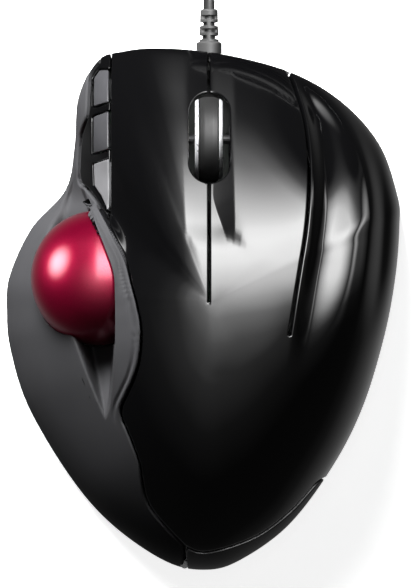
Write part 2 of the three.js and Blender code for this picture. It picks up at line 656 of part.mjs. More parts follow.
// ---------------------------------------------------------------- cord
const BOOT_R = 2.45;
const BOOT = { y0: 61, y1: 76.6, collarY: 66.4 };
const INNER_ROUTE = [
  [1.5, 76.3, 6.2], [1.5, 68.0, 6.2], [1.5, 62.0, 6.2], [0.8, 59.0, 6.8], [-2.5, 57.2, 9.2],
  [-5.8, 55.9, 10.5], [-7.5, 54.3, 10.7],
];
const CORD_ROUTE = [
  [1.5, 76.7, 6.2], [1.5, 80.0, 5.7], [1.4, 83.0, 4.3], [1.1, 86.0, 2.8], [0.6, 89.0, 1.8],
  [0.2, 92.0, 1.45], [0.1, 95.0, 1.42], [0.5, 98.5, 1.42], [1.6, 101.6, 1.42],
];
const TAIL_ROUTE = [
  [33.0, 129.9, 9.2], [36.0, 130.8, 7.6], [40.0, 131.4, 5.4], [44.0, 131.5, 4.25], [46.6, 131.5, 4.1],
];

function strainRelief() {
  let boot = rod('y', WHEEL_X, (BOOT.y0 + BOOT.y1) / 2, EXIT_Z, BOOT_R, BOOT.y1 - BOOT.y0);
  boot = boot.add(rod('y', WHEEL_X, BOOT.collarY + 0.9, EXIT_Z, 3.15, 1.6));
  boot = boot.add(rod('y', WHEEL_X, 61.6, EXIT_Z, 3.0, 1.2));
  for (let i = 0; i < 3; i++) {
    const y = BOOT.collarY + 3.2 + i * 2.6;
    for (const sign of [-1, 1]) {
      boot = boot.subtract(box(WHEEL_X + sign * 2.3 - 0.7, WHEEL_X + sign * 2.3 + 0.7, y, y + 0.9, 0, 12));
    }
  }
  return boot.subtract(rod('y', WHEEL_X, 70, EXIT_Z, CORD_R + 0.3, 40, 12));
}

function curveThrough(points) {
  return new THREE.CatmullRomCurve3(points.map((p) => new THREE.Vector3(...p)));
}

function cord() {
  add('strain_relief', strainRelief(), MATTE);
  add('inner_lead', tube(curveThrough(INNER_ROUTE), CORD_R, 16, 8), RUBBER);
  add('cable_run', tube(curveThrough(CORD_ROUTE), CORD_R, 12, 8), RUBBER);
  add('cable_tail', tube(curveThrough(TAIL_ROUTE), CORD_R, 10, 8), RUBBER);
  const { x, y, r0, r1, z0, h } = COIL;
  const ring = [[r0 + 1.5, z0], [r1 - 1.5, z0], [r1, z0 + 1.5], [r1, z0 + h - 1.5], [r1 - 1.5, z0 + h],
    [r0 + 1.5, z0 + h], [r0, z0 + h - 1.5], [r0, z0 + 1.5]];
  const profile = [...ring, ring[0]].map(([r, z]) => new THREE.Vector2(r, z));
  const coil = new THREE.LatheGeometry(profile, 28).rotateX(Math.PI / 2);
  add('cable_coil', facingOut(coil).translate([x, y, 0]), RUBBER);
  add('cable_tie', tie(), RUBBER);
  plug();
}

// Strap over the coil, open underneath where it is pinched against the desk.
function tie() {
  const { x, y, r0, r1, z0, h } = COIL;
  const [x0, x1] = [x + r0 - 0.9, x + r1 + GAP];
  const strap = box(x0 - 1, x1 + 1, y - 3, y + 3, 0, z0 + h + GAP + 1);
  return strap.subtract(box(x0, x1, y - 4, y + 4, -1, z0 + h + GAP));
}

function plug() {
  const { x, y, z } = PLUG;
  add('plug_overmould', box(x, x + 20, y - 7.8, y + 7.8, 0.1, 8.1), RUBBER);
  const outer = box(x + 20.3, x + 32.3, y - 6, y + 6, z - 2.25, z + 2.25);
  add('plug_shell', outer.subtract(box(x + 21, x + 40, y - 5.6, y + 5.6, z - 1.9, z + 1.9)), STEEL);
  add('plug_tongue', box(x + 21.3, x + 32, y - 5.2, y + 5.2, z - 1.6, z - 0.2), WHITE);
}

// ---------------------------------------------------------------- assembly
add('base_shell', baseShell(), MATTE);
feetAndLabel();
SCREWS.forEach(caseScrew);
upperShells();
sideKeys();
ballUnit();
sensorUnit();
wheelUnit();
electronics();
cord();

export default mouse;
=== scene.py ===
"""Looks of a wired thumb-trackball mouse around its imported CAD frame. Lengths are millimetres here until a
mesh is made, which turns them into metres."""
import json
import math

import bmesh
import bpy
import numpy as np
from mathutils import Matrix, Vector


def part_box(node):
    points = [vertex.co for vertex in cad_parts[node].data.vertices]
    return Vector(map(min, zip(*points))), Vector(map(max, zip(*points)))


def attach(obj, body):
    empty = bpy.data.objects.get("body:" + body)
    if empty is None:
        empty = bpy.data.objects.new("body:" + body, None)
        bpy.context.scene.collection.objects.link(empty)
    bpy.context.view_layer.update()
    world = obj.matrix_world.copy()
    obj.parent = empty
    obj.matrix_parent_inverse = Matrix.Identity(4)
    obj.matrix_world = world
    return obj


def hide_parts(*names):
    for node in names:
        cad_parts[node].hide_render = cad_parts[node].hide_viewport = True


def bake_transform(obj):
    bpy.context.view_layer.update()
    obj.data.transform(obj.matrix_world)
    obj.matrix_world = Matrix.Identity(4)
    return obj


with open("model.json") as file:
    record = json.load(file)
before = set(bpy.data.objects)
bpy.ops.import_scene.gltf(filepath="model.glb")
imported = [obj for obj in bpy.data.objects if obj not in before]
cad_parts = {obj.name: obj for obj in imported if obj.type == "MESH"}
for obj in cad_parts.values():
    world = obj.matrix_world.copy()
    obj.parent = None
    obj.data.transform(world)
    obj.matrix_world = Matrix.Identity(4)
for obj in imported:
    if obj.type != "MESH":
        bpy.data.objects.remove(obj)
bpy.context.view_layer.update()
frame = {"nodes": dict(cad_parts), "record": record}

MM = 0.001
CASE = "case"


# ------------------------------------------------------------------ camera, light and floor
VIEW_CENTRE = (1.39, 4.03)       # plan point in the middle of the picture
VIEW_PLANE_Z = 22.0              # height at which the picture's scale holds
VIEW_HEIGHT = 148.1              # what the picture's height shows at that plane
CAMERA_DISTANCE = 1300.0


def make_camera():
    data = bpy.data.cameras.new("camera")
    data.sensor_fit = "VERTICAL"
    data.sensor_height = 24.0
    data.lens = data.sensor_height * CAMERA_DISTANCE / VIEW_HEIGHT
    data.clip_end = 20.0
    camera = bpy.data.objects.new("camera", data)
    camera.location = (VIEW_CENTRE[0] * MM, VIEW_CENTRE[1] * MM, (VIEW_PLANE_Z + CAMERA_DISTANCE) * MM)
    bpy.context.collection.objects.link(camera)
    bpy.context.scene.camera = camera


LIGHT_AIM = (0.0, 0.0, 0.025)    # the middle of the mouse, in metres


def soft_box(name, direction, distance, size, power, in_gloss=True):
    """An area light that shines on the middle of the mouse from a direction."""
    data = bpy.data.lights.new(name, "AREA")
    data.shape = "RECTANGLE"
    data.size, data.size_y = size
    data.energy = power
    light = bpy.data.objects.new(name, data)
    towards = Vector(direction).normalized()
    light.location = Vector(LIGHT_AIM) + towards * distance
    light.rotation_euler = (-towards).to_track_quat("-Z", "Y").to_euler()
    light.visible_glossy = in_gloss
    light.visible_camera = False
    bpy.context.collection.objects.link(light)
    return light


def soften(light):
    """Dims an area light smoothly from its middle to its edges."""
    light.data.use_nodes = True
    nodes, links = light.data.node_tree.nodes, light.data.node_tree.links
    geometry = nodes.new("ShaderNodeNewGeometry")
    reach = nodes.new("ShaderNodeVectorMath")
    reach.operation = "DISTANCE"
    reach.inputs[1].default_value = (0.5, 0.5, 0.0)
    spread = nodes.new("ShaderNodeMapRange")
    spread.interpolation_type = "SMOOTHERSTEP"
    spread.inputs["From Min"].default_value = 0.0
    spread.inputs["From Max"].default_value = 0.5
    spread.inputs["To Min"].default_value = 1.0
    spread.inputs["To Max"].default_value = 0.0
    links.new(geometry.outputs["Parametric"], reach.inputs[0])
    links.new(reach.outputs["Value"], spread.inputs["Value"])
    links.new(spread.outputs["Result"], nodes["Emission"].inputs["Strength"])


# The studio's big front diffuser: how bright it is along each axis of direction, as place and value.
DIFFUSER = {
    "X": [(-0.34, 0.0), (-0.2, 0.01), (-0.1, 0.08), (-0.03, 0.5), (0.01, 1.0), (0.5, 1.0), (0.8, 0.0),
          (0.87, 0.4), (0.93, 0.05)],
    "Y": [(-0.25, 0.0), (-0.1, 0.04), (0.0, 0.22), (0.1, 0.5), (0.3, 0.85), (0.5, 1.0), (0.6, 0.95),
          (0.77, 0.52), (0.9, 0.15), (0.98, 0.04)],
    "Z": [(-0.25, 0.0), (0.05, 1.0)],
}
DIFFUSER_STRENGTH = 13.0
FRONT_CUT = [(0.0, 1.0), (1.0, 1.0), (1.05, 0.6), (1.08, 0.2), (1.13, 0.0)]   # along FRONT_CUT_AXIS
FRONT_CUT_AXIS = (0.6, 1.0, 0.0)
HORIZON = [(-1.0, 0.22), (-0.8, 0.12), (-0.5, 0.02), (-0.3, 0.0)]
GLOW = [(0.0, 2.2), (0.2, 1.6), (0.4, 0.75), (0.6, 0.24), (0.9, 0.05), (1.2, 0.0)]
GLOW_FROM = (0.05, 0.1, 0.99)    # direction of the soft glow behind the diffuser, which fades by distance


def ramp_node(nodes, stops, low, high):
    """A range and a ramp that turn a number between low and high into the stops' values."""
    scale = nodes.new("ShaderNodeMapRange")
    scale.inputs["From Min"].default_value = low
    scale.inputs["From Max"].default_value = high
    node = nodes.new("ShaderNodeValToRGB")
    elements = node.color_ramp.elements
    for i, (at, value) in enumerate(stops):
        element = elements[i] if i < 2 else elements.new(1.0)
        element.position = (at - low) / (high - low)
        element.color = (value, value, value, 1)
    return scale, node


def make_studio():
    """World that gives the soft reflections: a broad diffuser over the front right and a glow round it."""
    world = bpy.data.worlds.new("studio")
    world.use_nodes = True
    nodes, links = world.node_tree.nodes, world.node_tree.links

    def combine(operation, a, b, c=None):
        node = nodes.new("ShaderNodeMath")
        node.operation = operation
        for socket, value in zip(node.inputs, (a, b, c)):
            if isinstance(value, float):
                socket.default_value = value
            elif value is not None:
                links.new(value, socket)
        return node.outputs["Value"]

    def through(source, stops, low, high):
        scale, node = ramp_node(nodes, stops, low, high)
        links.new(source, scale.inputs["Value"])
        links.new(scale.outputs["Result"], node.inputs["Fac"])
        return node.outputs["Color"]

    coordinates = nodes.new("ShaderNodeTexCoord")
    axes = nodes.new("ShaderNodeSeparateXYZ")
    links.new(coordinates.outputs["Generated"], axes.inputs["Vector"])
    x, y, z = (through(axes.outputs[axis], stops, -1.0, 1.0) for axis, stops in DIFFUSER.items())
    front = nodes.new("ShaderNodeVectorMath")
    front.operation = "DOT_PRODUCT"
    front.inputs[1].default_value = FRONT_CUT_AXIS
    links.new(coordinates.outputs["Generated"], front.inputs[0])
    cut = through(front.outputs["Value"], FRONT_CUT, -1.2, 1.2)
    diffuser = combine("MULTIPLY", combine("MULTIPLY", x, y), combine("MULTIPLY", z, cut))
    away = nodes.new("ShaderNodeVectorMath")
    away.operation = "DISTANCE"
    away.inputs[1].default_value = GLOW_FROM
    links.new(coordinates.outputs["Generated"], away.inputs[0])
    glow = combine("ADD", through(away.outputs["Value"], GLOW, 0.0, 2.0), 0.02)
    glow = combine("ADD", glow, through(axes.outputs["Z"], HORIZON, -1.0, 1.0))
    strength = combine("MULTIPLY_ADD", diffuser, DIFFUSER_STRENGTH, glow)
    links.new(strength, nodes["Background"].inputs["Strength"])
    nodes["Background"].inputs["Color"].default_value = (1, 1, 1, 1)
    bpy.context.scene.world = world
    world.cycles_visibility.diffuse = False
    world.cycles_visibility.camera = False


def make_lights():
    soft_box("overhead", (0.0, 0.2, 1.0), 1.6, (1.9, 1.9), 1.0, in_gloss=False)
    soft_box("front_left", (-0.32, 0.82, 0.46), 0.55, (0.3, 0.3), 14.0, in_gloss=False)
    make_studio()
    bpy.context.scene.view_settings.view_transform = "Standard"


def make_ball_light(ball):
    """Soft window of light that only the ball takes."""
    window = soft_box("ball_window", (-0.90, 0.36, 0.22), 0.6, (0.62, 0.62), 22.0)
    soften(window)
    takers = bpy.data.collections.new("ball_light_takers")
    takers.objects.link(ball)
    window.light_linking.receiver_collection = takers


def stage_new(name, material, hidden_from):
    """Names the object just added and gives it a material, out of sight of some kinds of ray."""
    piece = bpy.context.object
    piece.name = name
    piece.data.materials.append(material)
    for kind in hidden_from:
        setattr(piece, "visible_" + kind, False)


def make_floor():
    pale = (0.93, 0.93, 0.93)
    bpy.ops.mesh.primitive_plane_add(size=6.0, location=(0, 0, -0.0001))
    stage_new("floor", base_material("pale_floor", Base_Color=pale, Roughness=0.9, Specular_IOR_Level=0.1,
                                     Emission_Color=(1.0, 1.0, 1.0), Emission_Strength=0.85),
              ("glossy", "diffuse"))
    bpy.ops.mesh.primitive_uv_sphere_add(segments=48, ring_count=24, radius=2.9)
    stage_new("backdrop", base_material("pale_backdrop", Base_Color=pale, Emission_Color=(0.9, 0.9, 0.9),
                                        Emission_Strength=0.9),
              ("glossy", "diffuse", "shadow", "transmission"))


# ------------------------------------------------------------------ materials
def base_material(name, **values):
    """A Principled material; values name the shader's sockets with spaces as underscores."""
    material = bpy.data.materials.new(name)
    material.use_nodes = True
    shader = material.node_tree.nodes["Principled BSDF"]
    for key, value in values.items():
        socket = shader.inputs[key.replace("_", " ")]
        socket.default_value = (*value, 1) if isinstance(value, tuple) else value
    return material


def noise(material, scale, detail=3.0, stretch=(1, 1, 1)):
    """Object-space noise, scaled per metre."""
    nodes, links = material.node_tree.nodes, material.node_tree.links
    coordinates = nodes.new("ShaderNodeTexCoord")
    mapping = nodes.new("ShaderNodeMapping")
    mapping.inputs["Scale"].default_value = stretch
    texture = nodes.new("ShaderNodeTexNoise")
    texture.inputs["Scale"].default_value = scale
    texture.inputs["Detail"].default_value = detail
    links.new(coordinates.outputs["Object"], mapping.inputs["Vector"])
    links.new(mapping.outputs["Vector"], texture.inputs["Vector"])
    return texture.outputs["Fac"]


def ramp(material, source, stops):
    nodes, links = material.node_tree.nodes, material.node_tree.links
    node = nodes.new("ShaderNodeValToRGB")
    elements = node.color_ramp.elements
    for i, (position, value) in enumerate(stops):
        element = elements[i] if i < 2 else elements.new(position)
        element.position = position
        colour = value if isinstance(value, tuple) else (value, value, value)
        element.color = (*colour, 1)
    links.new(source, node.inputs["Fac"])
    return node.outputs["Color"]


def into(material, source, socket):
    shader = material.node_tree.nodes["Principled BSDF"]
    material.node_tree.links.new(source, shader.inputs[socket])


def vary(material, socket, low, high, scale, detail=3.0, stretch=(1, 1, 1), at=(0.3, 0.7)):
    """Drifts a socket between two values with noise."""
    drift = ramp(material, noise(material, scale, detail, stretch), list(zip(at, (low, high))))
    into(material, drift, socket)


def bump(material, source, height_mm, strength=1.0):
    nodes, links = material.node_tree.nodes, material.node_tree.links
    node = nodes.new("ShaderNodeBump")
    node.inputs["Distance"].default_value = height_mm * MM
    node.inputs["Strength"].default_value = strength
    links.new(source, node.inputs["Height"])
    into(material, node.outputs["Normal"], "Normal")


def gloss_black():
    material = base_material("gloss_black", Base_Color=(0.0016, 0.0016, 0.0018), Roughness=0.09,
                             Specular_IOR_Level=0.5, Coat_Weight=0.6, Coat_Roughness=0.03)
    vary(material, "Roughness", 0.07, 0.12, 60)
    bump(material, noise(material, 900, 4), 0.002, 0.15)
    return material


def matte_black():
    material = base_material("matte_black", Base_Color=(0.046, 0.046, 0.048), Roughness=0.55,
                             Specular_IOR_Level=0.07)
    vary(material, "Roughness", 0.44, 0.54, 90)
    vary(material, "Base Color", (0.041, 0.041, 0.043), (0.050, 0.050, 0.053), 40)
    bump(material, noise(material, 5200, 2), 0.02, 0.35)
    return material


def ball_red():
    material = base_material("ball_red", Base_Color=(0.30, 0.001, 0.020), Metallic=0.8, Roughness=0.38,
                             Specular_IOR_Level=0.2, Coat_Weight=0.9, Coat_Roughness=0.13)
    vary(material, "Base Color", (0.18, 0.0006, 0.018), (0.25, 0.0010, 0.028), 7000, 1, at=(0.35, 0.65))
    vary(material, "Roughness", 0.35, 0.41, 120)
    bump(material, noise(material, 7000, 1), 0.004, 0.12)
    return material


def chrome():
    material = base_material("ring_chrome", Base_Color=(0.80, 0.81, 0.83), Metallic=0.55, Roughness=0.3)
    vary(material, "Roughness", 0.26, 0.34, 500, 2)
    return material


def rubber(name, shade, rough):
    material = base_material(name, Base_Color=(shade, shade, shade * 1.05), Roughness=rough)
    vary(material, "Roughness", rough - 0.06, rough + 0.06, 300)
    vary(material, "Base Color", (shade * 0.85,) * 3, (shade * 1.2,) * 3, 150)
    bump(material, noise(material, 4000, 2), 0.015, 0.3)
    return material


def metal(name, shade=0.55, rough=0.3):
    material = base_material(name, Base_Color=(shade, shade, shade * 1.02), Metallic=1.0, Roughness=rough)
    vary(material, "Roughness", rough - 0.08, rough + 0.1, 900, 3, (1, 12, 1))
    return material


def plain(name, colour, rough, grain=1500):
    """Moulded plastic with a fine grain and a slight drift of tone."""
    material = base_material(name, Base_Color=colour, Roughness=rough)
    dark = tuple(c * 0.85 for c in colour)
    light = tuple(min(1.0, c * 1.12) for c in colour)
    vary(material, "Base Color", dark, light, 120)
    bump(material, noise(material, grain, 2), 0.01, 0.3)
    return material


def clear_lens():
    material = base_material("clear_lens", Base_Color=(0.85, 0.9, 0.93), Roughness=0.08,
                             Transmission_Weight=0.9, IOR=1.49)
    bump(material, noise(material, 800, 1), 0.002, 0.1)
    return material


def make_materials():
    return {
        "gloss_black": gloss_black(),
        "matte_black": matte_black(),
        "ball_red": ball_red(),
        "ring_chrome": chrome(),
        "wheel_rubber": rubber("wheel_rubber", 0.012, 0.5),
        "steel": metal("steel"),
        "circuit_board": plain("circuit_board", (0.004, 0.016, 0.008), 0.4),
        "white_plastic": plain("white_plastic", (0.66, 0.65, 0.61), 0.45),
        "chip_black": plain("chip_black", (0.018, 0.018, 0.02), 0.45),
        "clear_lens": clear_lens(),
        "foot_dark": plain("foot_dark", (0.05, 0.05, 0.055), 0.38),
        "label_grey": plain("label_grey", (0.33, 0.34, 0.36), 0.5),
        "cord_black": rubber("cord_black", 0.016, 0.5),
        "boot_grey": rubber("boot_grey", 0.05, 0.45),
        "base_black": plain("base_black", (0.009, 0.009, 0.010), 0.42, 3000),
        "key_satin": plain("key_satin", (0.04, 0.04, 0.043), 0.32, 2500),
        # The trim is the keys' satin made lighter: a painted highlight.
        "trim_satin": plain("trim_satin", (0.14, 0.14, 0.145), 0.3, 2500),
        "plug_steel": metal("plug_steel", 0.62, 0.24),
    }


# ------------------------------------------------------------------ case surface
CENTRE = (2.0, 2.0)
CROWN = 47.0
SPLIT_Z = 3.4                    # lower edge of the upper shells
FLOOR_Z = 1.0
NOSE_TOP = 9.6
BUTTON_EDGE_Z = 10.7
HINGE_Y = -2.0

BALL = np.array([-26.4, 8.1, 21.5])
BALL_R = 17.0
BALL_HOLE_R = 17.5               # what the side keys' bezel and trim keep clear of
PANEL_HOLE_R = 17.25             # the opening in the panel
BALL_CLEAR_R = 17.45             # what the inside of every shell keeps clear of
HOOD_R = 18.1                    # cap that the strip makes over the ball
HOOD_SOFTNESS = 1.0              # how softly that cap runs into the case
STRIP_STEP = 0.9                 # width of the step at the strip's inner edge

OUTLINE = [
    (-10.8, 66.4), (4.3, 65.0), (21.9, 60.5), (35.0, 53.1), (44.8, 42.3), (49.6, 29.0), (50.1, 21.4),
    (49.1, 8.6), (46.3, -6.5), (40.8, -24.7), (33.2, -39.8), (21.9, -54.9), (9.3, -64.0), (0.5, -66.4),
    (-9.6, -64.2), (-23.2, -54.9), (-33.8, -42.8), (-44.6, -24.7), (-49.2, -10.0), (-50.1, -0.5),
    (-49.4, 8.6), (-43.8, 20.7), (-35.0, 30.7), (-32.7, 41.8), (-31.7, 53.9), (-27.0, 63.2), (-20.5, 65.6),
]
LIP = [
    (-26.4, 63.0), (-28.5, 59.9), (-28.9, 55.5), (-29.3, 49.2), (-31.0, 43.6), (-31.4, 33.4),
    (-29.1, 30.5), (-26.6, 27.3), (-24.0, 22.9), (-21.3, 17.6), (-19.1, 13.1), (-17.6, 6.8),
    (-16.1, 1.0), (-15.1, -5.0), (-15.5, -12.0), (-16.9, -17.1), (-18.7, -21.1), (-20.2, -24.6),
    (-19.9, -27.5), (-18.7, -30.2), (-15.7, -38.5), (-13.4, -49.1), (-4.5, -59.7),
]
REAR_EDGE = [(-4.5, -59.7), (1.0, -61.2), (13.1, -57.4), (21.9, -51.1), (28.5, -44.1), (31.1, -42.8)]
RIGHT_SEAM = [(21.4, 61.5), (23.2, 56.5), (25.1, 50.2), (26.2, 43.6), (26.6, 35.4), (26.3, 27.5),
              (25.6, 19.7), (24.3, 11.6), (23.0, 3.6), (21.5, -6.0)]
BEZEL_X = -23.25
WHEEL_X = 1.5
SLOT = (1.65, 43.3, 10.3, 23.2)  # the wheel's slot: middle x and y, width and length
LIP_TURN_Y = 22.0                # where the lip leaves the side keys
REAR_Y = -42.8                   # where the gloss ends at the right flank
FAR = 90.0                       # well outside the case

# Roll-off to the right, front, left and rear: rim height and the two powers of the dome's profile.
SIDES = [(4, 3, 0.4545), (12, 2, 0.95), (4, 2, 0.91), (4, 2, 0.64)]
GROOVE_1 = [(60, 21.6), (50, 25.1), (35, 26.6), (20, 25.6), (4, 23.0), (-20, 20.0)]
GROOVE_2 = [(60, 31.0), (46, 38.0), (31, 42.0), (18, 41.5), (-1, 38.5), (-20, 33.0)]

# Inner edge of the strip between the ball and the lip, and the crease where the hollow beside it starts.
STRIP_EDGE = [(40, -31.9), (34, -31.2), (27.7, -29.0), (21.4, -26.7), (15.1, -24.2), (10, -22.4), (5, -21.9),
              (-9, -21.9), (-22.7, -22.9), (-28, -24.2), (-34, -26)]
HOLLOW_CREASE = [(40, -32.5), (33, -33.8), (27, -36.5), (20, -40.0), (6, -43), (-3, -36), (-6.3, -33),
                 (-18.9, -28), (-26.4, -24.9), (-34, -22)]
HOLLOW_DEPTH = 14.0
SEAM_ENDS = [(-22.2, 64.5), (-25.7, 62.5), (-4.5, -63.0)]    # where seams run out at the outline


def spline(points, per_span=10, closed=False):
    """Catmull-Rom curve through the points, as an array."""
    points = np.asarray(points, float)
    count = len(points)
    spans = count if closed else count - 1
    out = []
    for i in range(spans):
        if closed:
            p = [points[(i + k) % count] for k in (-1, 0, 1, 2)]
        else:
            p = [points[max(i - 1, 0)], points[i], points[i + 1], points[min(i + 2, count - 1)]]
        for t in np.linspace(0, 1, per_span, endpoint=False):
            a = 2 * p[1]
            b = p[2] - p[0]
            c = 2 * p[0] - 5 * p[1] + 4 * p[2] - p[3]
            d = -p[0] + 3 * p[1] - 3 * p[2] + p[3]
            out.append(0.5 * (a + b * t + c * t * t + d * t ** 3))
    if not closed:
        out.append(points[-1])
    return np.array(out)


def smooth(t):
    t = np.clip(t, 0, 1)
    return t * t * (3 - 2 * t)


OUTLINE_FINE = spline(OUTLINE, 24, closed=True)
_offset = OUTLINE_FINE - CENTRE
_polar = np.stack([np.arctan2(_offset[:, 1], _offset[:, 0]), np.hypot(_offset[:, 0], _offset[:, 1])])
OUTLINE_POLAR = _polar[:, np.argsort(_polar[0])]


def outline_radius(angle):
    return np.interp(angle, OUTLINE_POLAR[0], OUTLINE_POLAR[1], period=2 * math.pi)


def line_x(line, y):
    curve = spline(line, 10)
    return np.interp(y, curve[::-1, 0], curve[::-1, 1])


def hollow(t, peak):
    """0 at both ends of 0 to 1, and 1 at the fraction peak."""
    rise = smooth(t / peak)
    fall = 1 - smooth((t - peak) / (1 - peak))
    return np.where(t < peak, rise, fall) * ((t > 0) & (t < 1))


def groove_depth(x, y, s):
    x1 = line_x(GROOVE_1, y)
    x2 = line_x(GROOVE_2, y)
    edge = smooth((1 - s) / 0.12)
    first = 3.4 * hollow((x - x1) / (x2 - x1), 0.3) * smooth((y + 18) / 30)
    second = 3.2 * hollow((x - x2) / (52 - x2), 0.4) * smooth((y + 10) / 22)
    return (first + second) * edge


def trough_depth(x, y):
    """Channel round the wheel: it deepens evenly to the right up to a low bank, and behind the wheel only
    the ridge along its left side carries on."""
    low = 2.2 + 4.4 * smooth((30 - y) / 16)
    bend = np.minimum((x + 4.3) / (low + 4.3), (7.8 - x) / (7.8 - low))
    ridge = np.minimum((4.0 - x) / 8.3, (x + 12.0) / 7.7)
    behind = 1 - smooth((y - 14) / 8)
    channel = 0.75 * np.clip(bend, 0, 1) * (1 - behind)
    return channel - 0.5 * np.clip(ridge, 0, 1) * smooth((y + 6) / 12) * behind


def scoop_depth(x, y):
    """Hollow that the ball stands in, running out to a point behind it and shallow ahead of it."""
    strip = line_x(STRIP_EDGE, y)
    crease = line_x(HOLLOW_CREASE, y)
    across = smooth((x - crease) / np.maximum(0.4 * (strip - crease), 0.5))
    along = smooth((y + 29) / 21) * (1 - 0.72 * smooth((y - 14) / 12)) * (1 - smooth((y - 27) / 10))
    return HOLLOW_DEPTH * across * along * smooth((strip - x) / STRIP_STEP)


def hood_rise(x, y, z):
    """How far the strip and the lip stand over the surface z as a cap on the right side of the ball."""
    over = HOOD_R ** 2 - (x - BALL[0]) ** 2 - (y - BALL[1]) ** 2
    cap = np.where(over > 0, BALL[2] + np.sqrt(np.maximum(over, 0)), 0)
    above = cap - z
    rise = (above + np.sqrt(above ** 2 + HOOD_SOFTNESS ** 2)) / 2
    return rise * smooth((x - line_x(STRIP_EDGE, y) + STRIP_STEP) / STRIP_STEP)


def surface_z(x, y):
    dx, dy = x - CENTRE[0], y - CENTRE[1]
    angle = np.arctan2(dy, dx)
    s = np.minimum(1, np.hypot(dx, dy) / outline_radius(angle))
    rim = power = root = 0
    for i, (side_rim, side_power, side_root) in enumerate(SIDES):
        weight = np.maximum(0, np.cos(angle - i * math.pi / 2)) ** 2
        rim, power, root = rim + side_rim * weight, power + side_power * weight, root + side_root * weight
    z = rim + (CROWN - rim) * (1 - s ** power) ** root
    z = z - groove_depth(x, y, s) - trough_depth(x, y)
    return z + hood_rise(x, y, z) - scoop_depth(x, y)


LIP_FINE = spline(LIP, 10)


# ------------------------------------------------------------------ plan distances
def inside_polygon(p, polygon):
    """Even-odd test of points against a closed polygon."""
    a, b = polygon, np.roll(polygon, -1, axis=0)
    result = np.zeros(len(p), bool)
    for (ax, ay), (bx, by) in zip(a, b):
        if ay == by:
            continue
        crosses = (ay > p[:, 1]) != (by > p[:, 1])
        x_at = ax + (p[:, 1] - ay) * (bx - ax) / (by - ay)
        result ^= crosses & (p[:, 0] < x_at)
    return result


def distance_to_line(p, line, closed=False):
    """Distance to a polyline and the unit direction away from it."""
    starts = line
    ends = np.roll(line, -1, axis=0)
    if not closed:
        starts, ends = starts[:-1], ends[:-1]
    best = np.full(len(p), 1e9)
    away = np.zeros((len(p), 2))
    for a, b in zip(starts, ends):
        ab = b - a
        t = np.clip(((p - a) @ ab) / max(ab @ ab, 1e-12), 0, 1)
        offset = p - (a + t[:, None] * ab)
        d = np.hypot(offset[:, 0], offset[:, 1])
        nearer = d < best
        best[nearer] = d[nearer]
        away[nearer] = offset[nearer] / np.maximum(d[nearer], 1e-9)[:, None]
    return best, away


def polygon_field(polygon, gap=0.0):
    """Field that is positive inside a closed polygon, in mm from an edge set back by gap."""
    polygon = np.asarray(polygon, float)

    def field(p):
        d, away = distance_to_line(p[:, :2], polygon, closed=True)
        sign = np.where(inside_polygon(p[:, :2], polygon), 1.0, -1.0)
        return sign * d - gap, np.c_[away * sign[:, None], np.zeros(len(p))]
    return field


def slot_field(line, half_width):
    """Field that is positive outside a slot with round ends along a line."""
    line = np.asarray(line, float)

    def field(p):
        d, away = distance_to_line(p[:, :2], line)
        return d - half_width, np.c_[away, np.zeros(len(p))]
    return field


def ball_field(radius):
    def field(p):
        offset = p - BALL
        d = np.linalg.norm(offset, axis=1)
        return d - radius, offset / d[:, None]
    return field


def ball_opening(p):
    """Keeps what is outside the ball's hole, and the whole strip over the ball's right side."""
    d, away = ball_field(PANEL_HOLE_R)(p)
    in_strip = p[:, 0] - line_x(STRIP_EDGE, p[:, 1])
    nearer = in_strip > d
    away = np.where(nearer[:, None], np.array([1.0, 0.0, 0.0]), away)
    return np.where(nearer, in_strip, d), away


def all_of(*fields):
    def field(p):
        d, away = fields[0](p)
        for other in fields[1:]:
            d2, away2 = other(p)
            nearer = d2 < d
            d = np.where(nearer, d2, d)
            away = np.where(nearer[:, None], away2, away)
        return d, away
    return field


def button_edge_field(p):
    """Height over the buttons' front edge, and far above it everywhere else on the case."""
    under_button = (p[:, 1] > 30) & (p[:, 0] > BEZEL_X - 1) & (p[:, 0] < seam_x(p[:, 1]))
    return np.where(under_button, p[:, 2] - BUTTON_EDGE_Z, 99.0), np.tile([0.0, 0.0, 1.0], (len(p), 1))


def front_wall_field(p):
    return NOSE_TOP - p[:, 2], np.tile([0.0, 0.0, -1.0], (len(p), 1))


# ------------------------------------------------------------------ panel meshes
AROUND, RINGS, SKIRT = 480, 110, 12    # points round, rings of the dome and rings of the skirt


def face_normals_to_vertices(points, faces):
    a, b, c = points[faces[:, 0]], points[faces[:, 1]], points[faces[:, 2]]
    n = np.cross(b - a, c - a)
    out = np.zeros_like(points)
    for k in range(3):
        np.add.at(out, faces[:, k], n)
    return out / np.maximum(np.linalg.norm(out, axis=1), 1e-12)[:, None]


